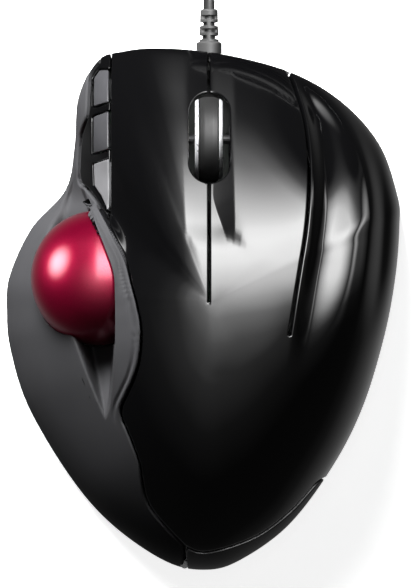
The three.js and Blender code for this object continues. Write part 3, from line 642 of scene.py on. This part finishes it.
def case_mesh():
    """The whole upper surface and its skirt as one fine triangle mesh: points, normals, faces."""
    angles = np.linspace(-math.pi, math.pi, AROUND, endpoint=False)
    radius = outline_radius(angles)
    t = np.linspace(0, 1, RINGS + 1)[1:]
    fractions = 1 - (1 - t) ** 1.7
    rows = []
    for s in fractions:
        x = CENTRE[0] + np.cos(angles) * radius * s
        y = CENTRE[1] + np.sin(angles) * radius * s
        rows.append(np.stack([x, y, surface_z(x, y)], axis=1))
    rim = rows[-1]
    for k in range(1, SKIRT + 1):
        z = rim[:, 2] + (SPLIT_Z - rim[:, 2]) * k / SKIRT
        rows.append(np.c_[rim[:, :2], z])
    top = np.array([[*CENTRE, CROWN]])
    points = np.concatenate([top, *rows])
    j = np.arange(AROUND)
    nxt = (j + 1) % AROUND
    faces = [np.stack([np.zeros_like(j), 1 + j, 1 + nxt], axis=1)]
    for i in range(len(rows) - 1):
        a, b = 1 + i * AROUND, 1 + (i + 1) * AROUND
        faces.append(np.stack([a + j, b + j, b + nxt], axis=1))
        faces.append(np.stack([a + j, b + nxt, a + nxt], axis=1))
    faces = np.concatenate(faces)
    relax_centre(points)
    return points, face_normals_to_vertices(points, faces), faces


def relax_centre(points):
    """Evens out the crown where the four roll-offs meet."""
    dome = points[1:1 + RINGS * AROUND]
    z = dome[:, 2].reshape(RINGS, AROUND)
    r = np.hypot(dome[:, 0] - CENTRE[0], dome[:, 1] - CENTRE[1])
    weight = 1 - smooth((r.reshape(RINGS, AROUND) - 3) / 16)
    reach = 8
    for _ in range(60):
        around = (np.roll(z, reach, axis=1) + np.roll(z, -reach, axis=1)) / 2
        z += (around - z) * 0.5 * weight
    points[0, 2] = z[0].mean()


def split(points, normals, faces, values, level):
    """Cuts the triangles along values == level and returns the mesh with points on that line."""
    values = values - level
    values = np.where(np.abs(values) < 1e-5, 0.0, values)
    side = np.sign(values)
    edges = np.concatenate([faces[:, [0, 1]], faces[:, [1, 2]], faces[:, [2, 0]]])
    low, high = np.minimum(edges[:, 0], edges[:, 1]), np.maximum(edges[:, 0], edges[:, 1])
    crossing = side[low] * side[high] < 0
    key = low[crossing].astype(np.int64) * len(points) + high[crossing]
    unique = np.unique(key)
    a, b = unique // len(points), unique % len(points)
    t = values[a] / (values[a] - values[b])
    new_points = points[a] + (points[b] - points[a]) * t[:, None]
    new_normals = normals[a] + (normals[b] - normals[a]) * t[:, None]
    new_normals /= np.linalg.norm(new_normals, axis=1)[:, None]
    index = {int(k): len(points) + i for i, k in enumerate(unique)}

    def middle(u, v):
        return index.get(int(min(u, v)) * len(points) + int(max(u, v)), -1)

    crossed = (side[faces] > 0).any(axis=1) & (side[faces] < 0).any(axis=1)
    out = [faces[~crossed]]
    extra = []
    for face in faces[crossed]:
        loop = []
        for k in range(3):
            u, v = face[k], face[(k + 1) % 3]
            loop.append((u, side[u]))
            m = middle(u, v)
            if m >= 0:
                loop.append((m, 0))
        for want in (1, -1):
            part = [v for v, sd in loop if sd == want or sd == 0]
            for k in range(1, len(part) - 1):
                extra.append((part[0], part[k], part[k + 1]))
    if extra:
        out.append(np.array(extra))
    return np.concatenate([points, new_points]), np.concatenate([normals, new_normals]), np.concatenate(out)


def compact(points, normals, faces, *arrays):
    used = np.unique(faces)
    remap = np.full(len(points), -1)
    remap[used] = np.arange(len(used))
    return (points[used], normals[used], remap[faces], *[a[used] for a in arrays])


EDGE_STEPS = 4


def cut_panel(mesh, field, edge_r):
    """The part of a mesh where the field is positive, with its edges rounded over."""
    points, normals, faces = mesh
    d, _ = field(points)
    near = (d[faces].max(axis=1) > -0.2)
    points, normals, faces = compact(points, normals, faces[near])
    for k in range(EDGE_STEPS, -1, -1):
        level = edge_r * (1 - math.sin(math.pi / 2 * (EDGE_STEPS - k) / EDGE_STEPS))
        d, _ = field(points)
        points, normals, faces = split(points, normals, faces, d, level)
    d, away = field(points)
    keep = d[faces].min(axis=1) > -1e-3
    points, normals, faces, d, away = compact(points, normals, faces[keep], d, away)
    return round_over(points, normals, d, away, edge_r), faces


def round_over(points, normals, d, away, edge_r):
    sine = np.clip(1 - d / edge_r, 0, 1)
    cosine = np.sqrt(1 - sine ** 2)
    out = -(away - (away * normals).sum(axis=1)[:, None] * normals)
    out /= np.maximum(np.linalg.norm(out, axis=1), 1e-9)[:, None]
    moved = points - normals * (edge_r * (1 - cosine))[:, None]
    tilted = normals * cosine[:, None] + out * sine[:, None]
    length = np.linalg.norm(tilted, axis=1)[:, None]
    tilted = np.where((d < edge_r)[:, None] & (length > 1e-6), tilted / np.maximum(length, 1e-6), normals)
    return moved, tilted, normals


SHELL_T = 2.2
KEY_T = 1.0


def shell_object(name, panel, material, thickness=SHELL_T, open_line=None):
    """Makes a closed shell from a panel: the surface, the same surface inside, and the walls between.
    Walls go straight down where the surface is fairly level, so that a pressed piece clears its neighbour.
    Edges on open_line get no wall, because the neighbour goes on from there."""
    (points, shown, straight), faces = panel
    count = len(points)
    level = smooth((straight[:, 2] - 0.5) / 0.3)[:, None]
    inward = straight * (1 - level) + np.array([0.0, 0.0, 1.0]) * level
    inner = points - inward / np.linalg.norm(inward, axis=1)[:, None] * thickness
    reach = np.linalg.norm(inner - BALL, axis=1)[:, None]
    inner = np.where(reach < BALL_CLEAR_R, BALL + (inner - BALL) / reach * BALL_CLEAR_R, inner)
    inner[:, 2] = np.maximum(inner[:, 2], FLOOR_Z + 0.2)
    edges = np.concatenate([faces[:, [0, 1]], faces[:, [1, 2]], faces[:, [2, 0]]])
    forward = set(map(tuple, edges.tolist()))
    border = np.array([e for e in forward if (e[1], e[0]) not in forward])
    if open_line is not None and len(border):
        border = border[~open_line(points[border[:, 0]], points[border[:, 1]])]
    walls = np.concatenate([
        np.stack([border[:, 1], border[:, 0], border[:, 0] + count], axis=1),
        np.stack([border[:, 1], border[:, 0] + count, border[:, 1] + count], axis=1),
    ])
    all_points = np.concatenate([points, inner])
    all_faces = np.concatenate([faces, faces[:, ::-1] + count, walls])
    corner_normals = np.concatenate([shown[faces], -straight[faces[:, ::-1]],
                                     flat_normals(all_points, walls)])
    return mesh_object(name, all_points, all_faces, material, corner_normals.reshape(-1, 3))


def flat_normals(points, faces):
    n = np.cross(points[faces[:, 1]] - points[faces[:, 0]], points[faces[:, 2]] - points[faces[:, 0]])
    n /= np.maximum(np.linalg.norm(n, axis=1), 1e-12)[:, None]
    return np.repeat(n[:, None, :], 3, axis=1)


def mesh_object(name, points, faces, material, corner_normals):
    mesh = bpy.data.meshes.new(name)
    mesh.from_pydata((points * MM).tolist(), [], faces.tolist())
    mesh.polygons.foreach_set("use_smooth", [True] * len(mesh.polygons))
    mesh.materials.append(material)
    mesh.normals_split_custom_set(corner_normals.tolist())
    obj = bpy.data.objects.new(name, mesh)
    bpy.context.collection.objects.link(obj)
    return obj


def place(obj, body, slot, *nodes):
    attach(obj, body)
    if nodes:
        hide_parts(*nodes)
    return obj


# ------------------------------------------------------------------ glossy shell
def gloss_field():
    rear_lip = LIP_FINE[LIP_FINE[:, 1] < LIP_TURN_Y]
    rear = spline(REAR_EDGE, 10)
    polygon = np.concatenate([[(BEZEL_X, FAR), (BEZEL_X, 21.6)], rear_lip, rear[1:],
                              [(FAR, REAR_Y), (FAR, FAR)]])
    slot_x, slot_y, width, length = SLOT
    half = (length - width) / 2
    return all_of(
        polygon_field(polygon),
        slot_field(spline(RIGHT_SEAM, 6), 0.42),
        slot_field([(WHEEL_X, FAR), (WHEEL_X, 2.1)], 0.3),
        slot_field([(slot_x, slot_y - half), (slot_x, slot_y + half)], width / 2),
        button_edge_field,
    )


def seam_x(y):
    seam = spline(RIGHT_SEAM, 6)[::-1]
    return np.interp(y, seam[:, 1], seam[:, 0])


def on_hinge(a, b):
    return (np.abs(a[:, 1] - HINGE_Y) < 0.02) & (np.abs(b[:, 1] - HINGE_Y) < 0.02)


def make_gloss_shell(mesh, materials):
    mesh = split(*mesh, mesh[0][:, 1], HINGE_Y)
    (moved, shown, straight), faces = cut_panel(mesh, gloss_field(), 0.35)
    centre = moved[faces].mean(axis=1)
    ahead = centre[:, 1] > HINGE_Y
    left = ahead & (centre[:, 0] < WHEEL_X)
    right = ahead & (centre[:, 0] > WHEEL_X) & (centre[:, 0] < seam_x(centre[:, 1]))
    pieces = [("top_cover_skin", ~(left | right), CASE, "top_cover"),
              ("left_button_skin", left, "left_button", "left_button"),
              ("right_button_skin", right, "right_button", "right_button")]
    for name, chosen, body, node in pieces:
        used = faces[chosen]
        p, n, f, s = compact(moved, shown, used, straight)
        obj = shell_object(name, ((p, n, s), f), materials["gloss_black"], open_line=on_hinge)
        if body == CASE:
            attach(obj, body)
        else:
            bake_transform(obj)
        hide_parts(node)


# ------------------------------------------------------------------ matte panel and base
RELIEF_WIDTH = 0.35
BEAD = (1.1, 0.35)               # distance from the lip, and height
GROOVE = (2.0, 0.45)             # distance from the lip, and depth


def panel_relief(points, normals):
    """A fine bead and groove that follow the lip, beside the ball."""
    d, _ = distance_to_line(points[:, :2], LIP_FINE)
    y = points[:, 1]
    along = smooth((y + 30) / 8) * (1 - smooth((y - 22) / 6))
    bead, groove = (np.exp(-((d - at) / RELIEF_WIDTH) ** 2) * size for at, size in (BEAD, GROOVE))
    return points + normals * ((bead - groove) * along)[:, None]


# Rows of points across the step at the strip's inner edge, and the stretch of y that has the step.
STRIP_STEPS = (-0.95, -0.7, -0.45, -0.2, 0.0, 0.5)
STRIP_Y = (-34, 36)


def crisp_strip(points, normals, faces):
    """Adds points across the strip's step and takes out the part of the step that the ball fills."""
    for offset in STRIP_STEPS:
        across = points[:, 0] - line_x(STRIP_EDGE, points[:, 1])
        points, normals, faces = split(points, normals, faces, across, offset)
    across = points[:, 0] - line_x(STRIP_EDGE, points[:, 1])
    near = (np.abs(across) < 1.0) & (points[:, 1] > STRIP_Y[0]) & (points[:, 1] < STRIP_Y[1])
    points[near, 2] = surface_z(points[near, 0], points[near, 1])
    middle = points[faces].mean(axis=1)
    beside = middle[:, 0] - line_x(STRIP_EDGE, middle[:, 1])
    over_ball = np.hypot(middle[:, 0] - BALL[0], middle[:, 1] - BALL[1]) < PANEL_HOLE_R
    faces = faces[~(over_ball & (beside < 0) & (beside > STRIP_STEPS[0]))]
    return points, face_normals_to_vertices(points, faces), faces


def make_thumb_panel(mesh, materials):
    beyond = [(LIP[-1][0], -FAR), (-FAR, -FAR), (-FAR, FAR), (LIP[0][0], FAR)]
    polygon = np.concatenate([LIP_FINE, beyond])
    points, normals, faces = crisp_strip(*mesh)
    points = panel_relief(points, normals)
    normals = face_normals_to_vertices(points, faces)
    field = all_of(polygon_field(polygon, 0.55), ball_opening)
    obj = shell_object("thumb_panel_skin", cut_panel((points, normals, faces), field, 0.4),
                       materials["matte_black"])
    place(obj, CASE, "matte_black", "thumb_panel")


def make_base(mesh, materials):
    rear = spline(REAR_EDGE, 10)
    polygon = np.concatenate([rear, [(FAR, REAR_Y), (FAR, -FAR), (REAR_EDGE[0][0], -FAR)]])
    rim = shell_object("base_rear_rim", cut_panel(mesh, polygon_field(polygon, 0.5), 0.3),
                       materials["base_black"])
    place(rim, CASE, "base_black")
    points, normals, faces = mesh
    front = (points[faces][:, :, 2].min(axis=1) < NOSE_TOP) & (points[faces][:, :, 1].min(axis=1) > 40)
    nose_box = np.array([(BEZEL_X, FAR), (22.0, FAR), (22.0, 30.0), (BEZEL_X, 30.0)])
    field = all_of(polygon_field(nose_box), front_wall_field)
    panel = cut_panel(compact(points, normals, faces[front]), field, 0.2)
    place(shell_object("base_front_wall", panel, materials["base_black"]), CASE, "base_black")
    place(base_pan(materials["base_black"]), CASE, "base_black", "base_shell")


# Section of the pan's edge: distance in from the case outline, and height.
PAN_EDGE = [(2.6, 3.2), (1.0, 3.2), (0.75, 3.0), (0.75, 2.5), (1.3, 1.7), (2.1, 1.15), (3.0, FLOOR_Z)]
SCREW_WELL = [(2.8, 2.6), (1.5, 6.0)]    # radius and depth of a case screw's well and hole


def inset_outline(inset, samples=240):
    angles = np.linspace(-math.pi, math.pi, samples, endpoint=False)
    r = outline_radius(angles) - inset
    return np.stack([CENTRE[0] + np.cos(angles) * r, CENTRE[1] + np.sin(angles) * r], axis=1)


def base_pan(material):
    build = bmesh.new()
    loops = []
    for inset, z in PAN_EDGE:
        loops.append([build.verts.new((x * MM, y * MM, z * MM)) for x, y in inset_outline(inset)])
    skin(build, loops)
    pan = bmesh_object("base_pan", build, material)
    for node in [n for n in frame["nodes"] if n.startswith("case_screw")]:
        low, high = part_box(node)
        x, y = (low[0] + high[0]) / 2, (low[1] + high[1]) / 2
        for r, depth in SCREW_WELL:
            cut_round(pan, x, y, r * MM, depth * MM)
    return pan


def bmesh_object(name, build, material, smooth_angle=35):
    mesh = bpy.data.meshes.new(name)
    build.to_mesh(mesh)
    build.free()
    mesh.materials.append(material)
    obj = bpy.data.objects.new(name, mesh)
    bpy.context.collection.objects.link(obj)
    shade(obj, smooth_angle)
    return obj


def shade(obj, angle=35):
    bpy.context.view_layer.objects.active = obj
    for other in bpy.context.selected_objects:
        other.select_set(False)
    obj.select_set(True)
    bpy.ops.object.shade_smooth_by_angle(angle=math.radians(angle))


def subtract(obj, cutter):
    """Cuts the cutter's shape out of an object, then removes the cutter."""
    modifier = obj.modifiers.new("cut", "BOOLEAN")
    modifier.operation = "DIFFERENCE"
    modifier.object = cutter
    modifier.solver = "EXACT"
    depsgraph = bpy.context.evaluated_depsgraph_get()
    mesh = bpy.data.meshes.new_from_object(obj.evaluated_get(depsgraph))
    obj.modifiers.clear()
    obj.data = mesh
    bpy.data.objects.remove(cutter)


def cut_round(obj, x, y, r, depth):
    bpy.ops.mesh.primitive_cylinder_add(vertices=40, radius=r, depth=depth, location=(x, y, depth / 2))
    subtract(obj, bpy.context.object)


def skin(build, rings, joined=False):
    """Quads between neighbouring rings of vertices. The last joins the first, or both ends are capped."""
    for first, second in zip(rings, rings[1:] + rings[:1] if joined else rings[1:]):
        for k in range(len(first)):
            m = (k + 1) % len(first)
            build.faces.new((first[k], first[m], second[m], second[k]))
    if not joined:
        build.faces.new(rings[0][::-1])
        build.faces.new(rings[-1])
    bmesh.ops.recalc_face_normals(build, faces=build.faces)


# ------------------------------------------------------------------ side keys
# Side keys: node, body and corners seen from above. Both have slanted ends.
KEYS = [
    ("forward_button", "forward_key",
     [(-27.9, 51.2), (-23.8, 52.3), (-23.8, 61.0), (-26.3, 61.0), (-27.9, 58.8)]),
    ("back_button", "back_key", [(-27.9, 39.2), (-23.8, 40.2), (-23.8, 50.3), (-27.9, 48.9)]),
]
KEY_CORNER_R = 0.5


def rounded_box(x0, x1, y0, y1, r):
    points = []
    corners = ((x1 - r, y1 - r, 0), (x0 + r, y1 - r, 90), (x0 + r, y0 + r, 180), (x1 - r, y0 + r, 270))
    for cx, cy, start in corners:
        for k in range(7):
            a = math.radians(start + 15 * k)
            points.append((cx + r * math.cos(a), cy + r * math.sin(a)))
    return np.array(points)


def outside_of(polygon, gap):
    field = polygon_field(polygon)

    def outside(p):
        d, away = field(p)
        return -d - gap, -away
    return outside


TRIM = np.array([(-27.7, 36.8), (-23.9, 37.9), (-23.75, 30.0), (-23.9, 24.8), (-25.6, 28.6), (-27.5, 31.4)])


def make_side_keys(mesh, materials):
    lip = LIP_FINE[LIP_FINE[:, 1] > LIP_TURN_Y]
    polygon = np.concatenate([lip, [(BEZEL_X, 21.8), (BEZEL_X, FAR), (LIP[0][0], FAR)]])
    holes = [outside_of(rounded_profile(corners, KEY_CORNER_R), 0.25) for _, _, corners in KEYS]
    field = all_of(polygon_field(polygon, 0.3), outside_of(TRIM, 0.25), ball_field(BALL_HOLE_R), *holes)
    bezel = shell_object("key_bezel_skin", cut_panel(mesh, field, 0.25), materials["gloss_black"])
    place(bezel, CASE, "gloss_black", "key_bezel")
    for node, body, corners in KEYS:
        points, normals, faces = mesh
        raised = points + normals * key_crown(points, corners)[:, None]
        key_mesh = (raised, face_normals_to_vertices(raised, faces), faces)
        panel = cut_panel(key_mesh, polygon_field(rounded_profile(corners, KEY_CORNER_R), 0.15), 0.3)
        place(shell_object(node + "_cap", panel, materials["key_satin"], KEY_T), body, "key_satin", node)
    # The trim's lighter satin is a painted highlight on the same surface as the keys.
    trim_mesh = (mesh[0] + mesh[1] * 0.3, mesh[1], mesh[2])
    trim_field = all_of(polygon_field(TRIM), ball_field(BALL_HOLE_R))
    trim = shell_object("bezel_trim_skin", cut_panel(trim_mesh, trim_field, 0.3), materials["trim_satin"])
    place(trim, CASE, "trim_satin", "bezel_trim")


def key_crown(points, corners):
    """Height of a key over the case: a low rounded ridge across its middle."""
    (x0, y0), (x1, y1) = np.min(corners, axis=0), np.max(corners, axis=0)
    u = np.clip((points[:, 1] - (y0 + y1) / 2) * 2 / (y1 - y0), -1, 1)
    v = np.clip((points[:, 0] - (x0 + x1) / 2) * 2 / (x1 - x0), -1, 1)
    return 0.35 + 0.6 * (1 - u * u) * (1 - 0.5 * v * v)


# ------------------------------------------------------------------ ball
def make_ball(materials):
    bpy.ops.mesh.primitive_uv_sphere_add(segments=128, ring_count=64, radius=BALL_R * MM)
    ball = bpy.context.object
    ball.name = "ball_sphere"
    ball.data.transform(Matrix.Translation(BALL * MM))
    ball.data.materials.append(materials["ball_red"])
    ball.data.polygons.foreach_set("use_smooth", [True] * len(ball.data.polygons))
    place(ball, "ball", "ball_red", "ball")
    return ball


# A dark sheet over the ball that paints shade into the seams beside the strip.
SHADE_SHEET_GAP = 0.25                 # distance over the ball
SHADE_SHEET_MARGIN = 1.2               # distance kept from the strip's edge


def make_ball_shade_sheet(materials):
    """Dark sheet just over the ball under the strip. It paints shade into the seams beside it, so that no red
    shows there. It has two layers back to back at one radius, and no thickness."""
    shade_sheet = bmesh.new()
    rows = []
    for turn in np.linspace(-0.5 * math.pi, 0.5 * math.pi, 73):
        row = []
        for rise in np.linspace(0.12, 1.45, 40):
            out = np.array([math.cos(turn) * math.cos(rise), math.sin(turn) * math.cos(rise), math.sin(rise)])
            point = BALL + (BALL_R + SHADE_SHEET_GAP) * out
            kept = point[0] > line_x(STRIP_EDGE, point[1]) + SHADE_SHEET_MARGIN
            row.append(shade_sheet.verts.new(point * MM) if kept else None)
        rows.append(row)
    for near, far in zip(rows, rows[1:]):
        for i in range(len(near) - 1):
            corners = (near[i], far[i], far[i + 1], near[i + 1])
            if all(corners):
                shade_sheet.faces.new(corners)
    bmesh.ops.solidify(shade_sheet, geom=shade_sheet.faces[:], thickness=0.0)
    sheet = bmesh_object("ball_shade_sheet", shade_sheet, materials["base_black"], 60)
    place(sheet, CASE, "base_black")


POST_R, POST_HEIGHT, POST_MID_Z = 1.0, 4.0, 6.0
POST_INSET = 1.05


def make_seam_posts(materials):
    """Posts behind the ends of the case's seams, so that the floor doesn't show through them."""
    for i, (x, y) in enumerate(SEAM_ENDS):
        angle = math.atan2(y - CENTRE[1], x - CENTRE[0])
        inset = np.array([math.cos(angle), math.sin(angle)]) * (outline_radius(angle) - POST_INSET)
        foot = np.array(CENTRE) + inset
        post = bmesh.new()
        bmesh.ops.create_cone(post, cap_ends=True, segments=24, radius1=POST_R * MM, radius2=POST_R * MM,
                              depth=POST_HEIGHT * MM,
                              matrix=Matrix.Translation((*(foot * MM), POST_MID_Z * MM)))
        place(bmesh_object(f"seam_post_{i}", post, materials["base_black"]), CASE, "base_black")


# ------------------------------------------------------------------ scroll wheel
def turned(name, profile, centre, material, around):
    """Turns a closed profile of (radius, x) about the X axis through centre."""
    r, x = np.asarray(profile, float).T
    build = bmesh.new()
    rings = []
    for a in np.linspace(0, 2 * math.pi, around, endpoint=False):
        ring = np.stack([centre[0] + x, centre[1] + r * math.cos(a), centre[2] + r * math.sin(a)], axis=1)
        rings.append([build.verts.new(p * MM) for p in ring])
    skin(build, rings, joined=True)
    return bmesh_object(name, build, material, 50)


def rounded_profile(points, r, steps=5):
    """Rounds every corner of a closed profile with a radius."""
    points = np.asarray(points, float)
    out = []
    for i, p in enumerate(points):
        a = points[i - 1] - p
        b = points[(i + 1) % len(points)] - p
        a, b = a / np.linalg.norm(a), b / np.linalg.norm(b)
        for t in np.linspace(0, 1, steps):
            out.append(p + a * r * (1 - t) ** 2 + b * r * t ** 2)
    return np.array(out)


def make_wheel(materials):
    low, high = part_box("wheel_tyre")
    centre = tuple((low[k] + high[k]) / 2 / MM for k in range(3))
    r = (high[2] - low[2]) / 2 / MM
    profile = rounded_profile([(r - 2.3, -2.35), (r - 0.35, -2.35), (r, -1.1), (r, 1.1), (r - 0.35, 2.35),
                               (r - 2.3, 2.35)], 0.3)
    tyre = turned("wheel_tyre_ring", profile, centre, materials["wheel_rubber"], 240)
    place(tyre, "wheel", "wheel_rubber", "wheel_tyre")
    for side, sign in (("left", -1), ("right", 1)):
        profile = rounded_profile([(r - 4.2, 2.55 * sign), (r - 0.4, 2.55 * sign), (r - 1.0, 3.5 * sign),
                                   (r - 3.7, 3.5 * sign)], 0.35)
        ring = turned(f"wheel_ring_{side}_band", profile, centre, materials["ring_chrome"], 160)
        place(ring, "wheel", "ring_chrome", f"wheel_ring_{side}")


# ------------------------------------------------------------------ strain relief
BOOT_R = 2.45
BOOT_Y = (61.0, 76.6)
EXIT_Z = 6.2


def boot_radius(y, angle):
    """Radius of the boot: a collar at the case, then rings joined alternately at the sides and at the top."""
    r = BOOT_R - 0.25 * smooth((y - 68) / 9)
    r += 0.75 * smooth((68.4 - y) / 0.5) * smooth((y - 65.0) / 0.4)
    side = abs(math.cos(angle)) ** 1.2
    for k, notch in enumerate((69.4, 71.1, 72.8, 74.5)):
        facing = side if k % 2 == 0 else 1 - side
        cut = 1 - smooth((abs(y - notch) - 0.35) / 0.2)
        r -= 0.85 * cut * smooth((facing - 0.15) / 0.2)
    r -= 0.3 * smooth((y - 76.2) / 0.4)
    return r


def make_boot(materials):
    ys = np.linspace(BOOT_Y[0], BOOT_Y[1], 140)
    angles = np.linspace(0, 2 * math.pi, 72, endpoint=False)
    build = bmesh.new()
    rows = []
    for y in ys:
        rows.append([build.verts.new(((WHEEL_X + boot_radius(y, a) * math.cos(a)) * MM, y * MM,
                                      (EXIT_Z + boot_radius(y, a) * math.sin(a)) * MM)) for a in angles])
    skin(build, rows)
    boot = bmesh_object("strain_relief_boot", build, materials["boot_grey"], 40)
    return place(boot, CASE, "boot_grey", "strain_relief")


# ------------------------------------------------------------------ cord
CORD_R = 1.4
COIL = {"x": 24.6, "y": 108.0, "lift": 0.9}
CORD_ROUTE = [
    (1.5, 76.2, 6.2), (1.5, 78.0, 6.1), (1.5, 80.0, 5.7), (1.4, 83.0, 4.3), (1.1, 86.0, 2.8),
    (0.6, 89.0, 1.8), (0.2, 92.0, 1.45), (0.1, 95.0, 1.42), (0.5, 98.5, 1.42), (1.7, 102.0, 1.5),
    (3.0, 105.0, 1.9),
]
TAIL_ROUTE = [
    (28.6, 127.7, 10.6), (32.5, 129.6, 9.6), (36.0, 130.8, 7.6), (40.0, 131.4, 5.4), (44.0, 131.5, 4.25),
    (47.4, 131.5, 4.1),
]
OUTER_TURN = 20.2                # radius of the outermost turn
LAYER_RISE = 2.42                # nested layers
START_ANGLE = 172.0
TURN_POINTS = 20


def coil_points():
    """Four nested layers of turns, wound inwards and outwards in turn."""
    inwards, outwards = (0, 1, 2, 3), (2.5, 1.5, 0.5)
    layers = [[OUTER_TURN - 2 * CORD_R * k for k in layer] for layer in (inwards, outwards)] * 2
    radii = [(r, level) for level, layer in enumerate(layers) for r in layer]
    points = []
    for i, (r, level) in enumerate(radii):
        next_r, next_level = radii[min(i + 1, len(radii) - 1)]
        for k in range(TURN_POINTS):
            t = k / TURN_POINTS
            step = smooth((t - 0.7) / 0.3)
            angle = math.radians(START_ANGLE) - 2 * math.pi * t
            radius = r + (next_r - r) * step
            z = CORD_R + COIL["lift"] + LAYER_RISE * (level + (next_level - level) * step)
            points.append((COIL["x"] + radius * math.cos(angle), COIL["y"] + radius * math.sin(angle), z))
    last_r, last_level = radii[-1]
    for degrees in (155, 138, 121, 104, 92):
        angle = math.radians(degrees)
        z = CORD_R + COIL["lift"] + LAYER_RISE * last_level
        points.append((COIL["x"] + last_r * math.cos(angle), COIL["y"] + last_r * math.sin(angle), z))
    return points


def make_cord(materials):
    points = CORD_ROUTE + [tuple(float(v) for v in p) for p in coil_points()] + TAIL_ROUTE
    curve = bpy.data.curves.new("cord", "CURVE")
    curve.dimensions = "3D"
    curve.resolution_u = 6
    curve.bevel_depth = CORD_R * MM
    curve.bevel_resolution = 5
    path = curve.splines.new("NURBS")
    path.points.add(len(points) - 1)
    for target, p in zip(path.points, points):
        target.co = (p[0] * MM, p[1] * MM, p[2] * MM, 1)
    path.order_u = 3
    path.use_endpoint_u = True
    curve.materials.append(materials["cord_black"])
    cord = bpy.data.objects.new("cord", curve)
    bpy.context.collection.objects.link(cord)
    return place(cord, CASE, "cord_black", "cable_run", "cable_tail", "cable_coil")


TIE_HALF_WIDTH = 2.6


def make_tie(materials):
    """A thin strap round the coil's section, opposite the side where the cord comes in."""
    low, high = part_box("cable_tie")
    x0, x1, z1 = low[0] / MM, high[0] / MM, high[2] / MM
    inside = rounded_box(x0 + 1.2, x1 - 1.2, 1.0, z1 - 1.6, 1.6)
    outside = rounded_box(x0 + 0.3, x1 - 0.3, 0.1, z1 - 0.7, 2.4)
    y_mid = (low[1] + high[1]) / 2 / MM
    build = bmesh.new()
    rings = []
    near, far = y_mid - TIE_HALF_WIDTH, y_mid + TIE_HALF_WIDTH
    for loop, y in ((inside, near), (outside, near), (outside, far), (inside, far)):
        rings.append([build.verts.new((x * MM, y * MM, z * MM)) for x, z in loop])
    skin(build, rings, joined=True)
    bmesh.ops.bevel(build, geom=[e for e in build.edges if e.calc_face_angle(0) > 1.2], offset=0.15 * MM,
                    segments=2, affect="EDGES")
    tie = bmesh_object("cable_tie_strap", build, materials["cord_black"])
    return place(tie, CASE, "cord_black", "cable_tie")


# ------------------------------------------------------------------ plug
def section_loft(name, sections, y, z, material):
    """Skin over rounded rectangles along X at y and z: each is x, half width, half height, corner radius."""
    build = bmesh.new()
    rings = []
    for x, w, h, r in sections:
        loop = rounded_box(-w, w, -h, h, r)
        rings.append([build.verts.new((x * MM, (y + u) * MM, (z + v) * MM)) for u, v in loop])
    skin(build, rings)
    return bmesh_object(name, build, material, 40)


def make_plug(materials):
    low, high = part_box("plug_overmould")
    y, z = (low[1] + high[1]) / 2 / MM, (low[2] + high[2]) / 2 / MM
    outline = [(0.0, 2.2, 2.2, 2.0), (2.6, 2.5, 2.5, 2.2), (3.0, 5.4, 3.3, 1.6), (4.2, 6.8, 3.8, 1.6)]
    for k in range(3):
        start = 6.0 + k * 2.2
        outline += [(start, 7.2, 3.9, 1.5), (start + 0.3, 6.8, 3.6, 1.5), (start + 0.9, 6.8, 3.6, 1.5),
                    (start + 1.2, 7.3, 3.9, 1.5)]
    outline += [(18.6, 7.6, 3.9, 1.4), (19.6, 7.3, 3.6, 1.2), (20.0, 6.8, 3.2, 1.0)]
    sections = [(low[0] / MM + dx, w, h, r) for dx, w, h, r in outline]
    body = section_loft("plug_body", sections, y, z, materials["cord_black"])
    place(body, CASE, "cord_black", "plug_overmould")
    shell = plug_shell(materials["plug_steel"])
    place(shell, CASE, "plug_steel", "plug_shell")
    return [body, shell, frame["nodes"]["plug_tongue"]]


LATCH_FROM_END = 6.2
LATCH = (2.4, 2.2, 8.0)          # a cutter that goes through both walls
LATCH_FROM_MIDDLE = 2.9


def plug_shell(material):
    """Folded metal sleeve with two square latch holes above and below."""
    low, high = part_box("plug_shell")
    x0, x1 = low[0], high[0]
    y, z = (low[1] + high[1]) / 2, (low[2] + high[2]) / 2
    build = bmesh.new()
    loops = []
    for x, w, h in ((x0, 5.6, 1.85), (x0, 6.0, 2.25), (x1, 6.0, 2.25), (x1, 5.6, 1.85)):
        loop = rounded_box(-w, w, -h, h, 0.6)
        loops.append([build.verts.new((x, y + u * MM, z + v * MM)) for u, v in loop])
    skin(build, loops, joined=True)
    shell = bmesh_object("plug_sleeve", build, material)
    for side in (-1, 1):
        place_at = (x0 + LATCH_FROM_END * MM, y + side * LATCH_FROM_MIDDLE * MM, z)
        bpy.ops.mesh.primitive_cube_add(size=1, location=place_at)
        bpy.context.object.scale = [side_length * MM for side_length in LATCH]
        subtract(shell, bpy.context.object)
    shade(shell)
    return shell


# ------------------------------------------------------------------ carried-over pieces
def dress_frame(materials):
    slots = {part["node"]: part["material_slot"] for part in frame["record"]["subparts"]}
    for node, obj in frame["nodes"].items():
        obj.data.materials.clear()
        obj.data.materials.append(materials[slots[node]])


make_camera()
make_lights()
make_floor()
MATERIALS = make_materials()
dress_frame(MATERIALS)

boot_piece = make_boot(MATERIALS)
cord_piece = make_cord(MATERIALS)
tie_piece = make_tie(MATERIALS)
plug_pieces = make_plug(MATERIALS)

SURFACE = case_mesh()
make_gloss_shell(SURFACE, MATERIALS)
make_thumb_panel(SURFACE, MATERIALS)
make_base(SURFACE, MATERIALS)
make_side_keys(SURFACE, MATERIALS)
make_ball_light(make_ball(MATERIALS))
make_ball_shade_sheet(MATERIALS)
make_seam_posts(MATERIALS)
make_wheel(MATERIALS)
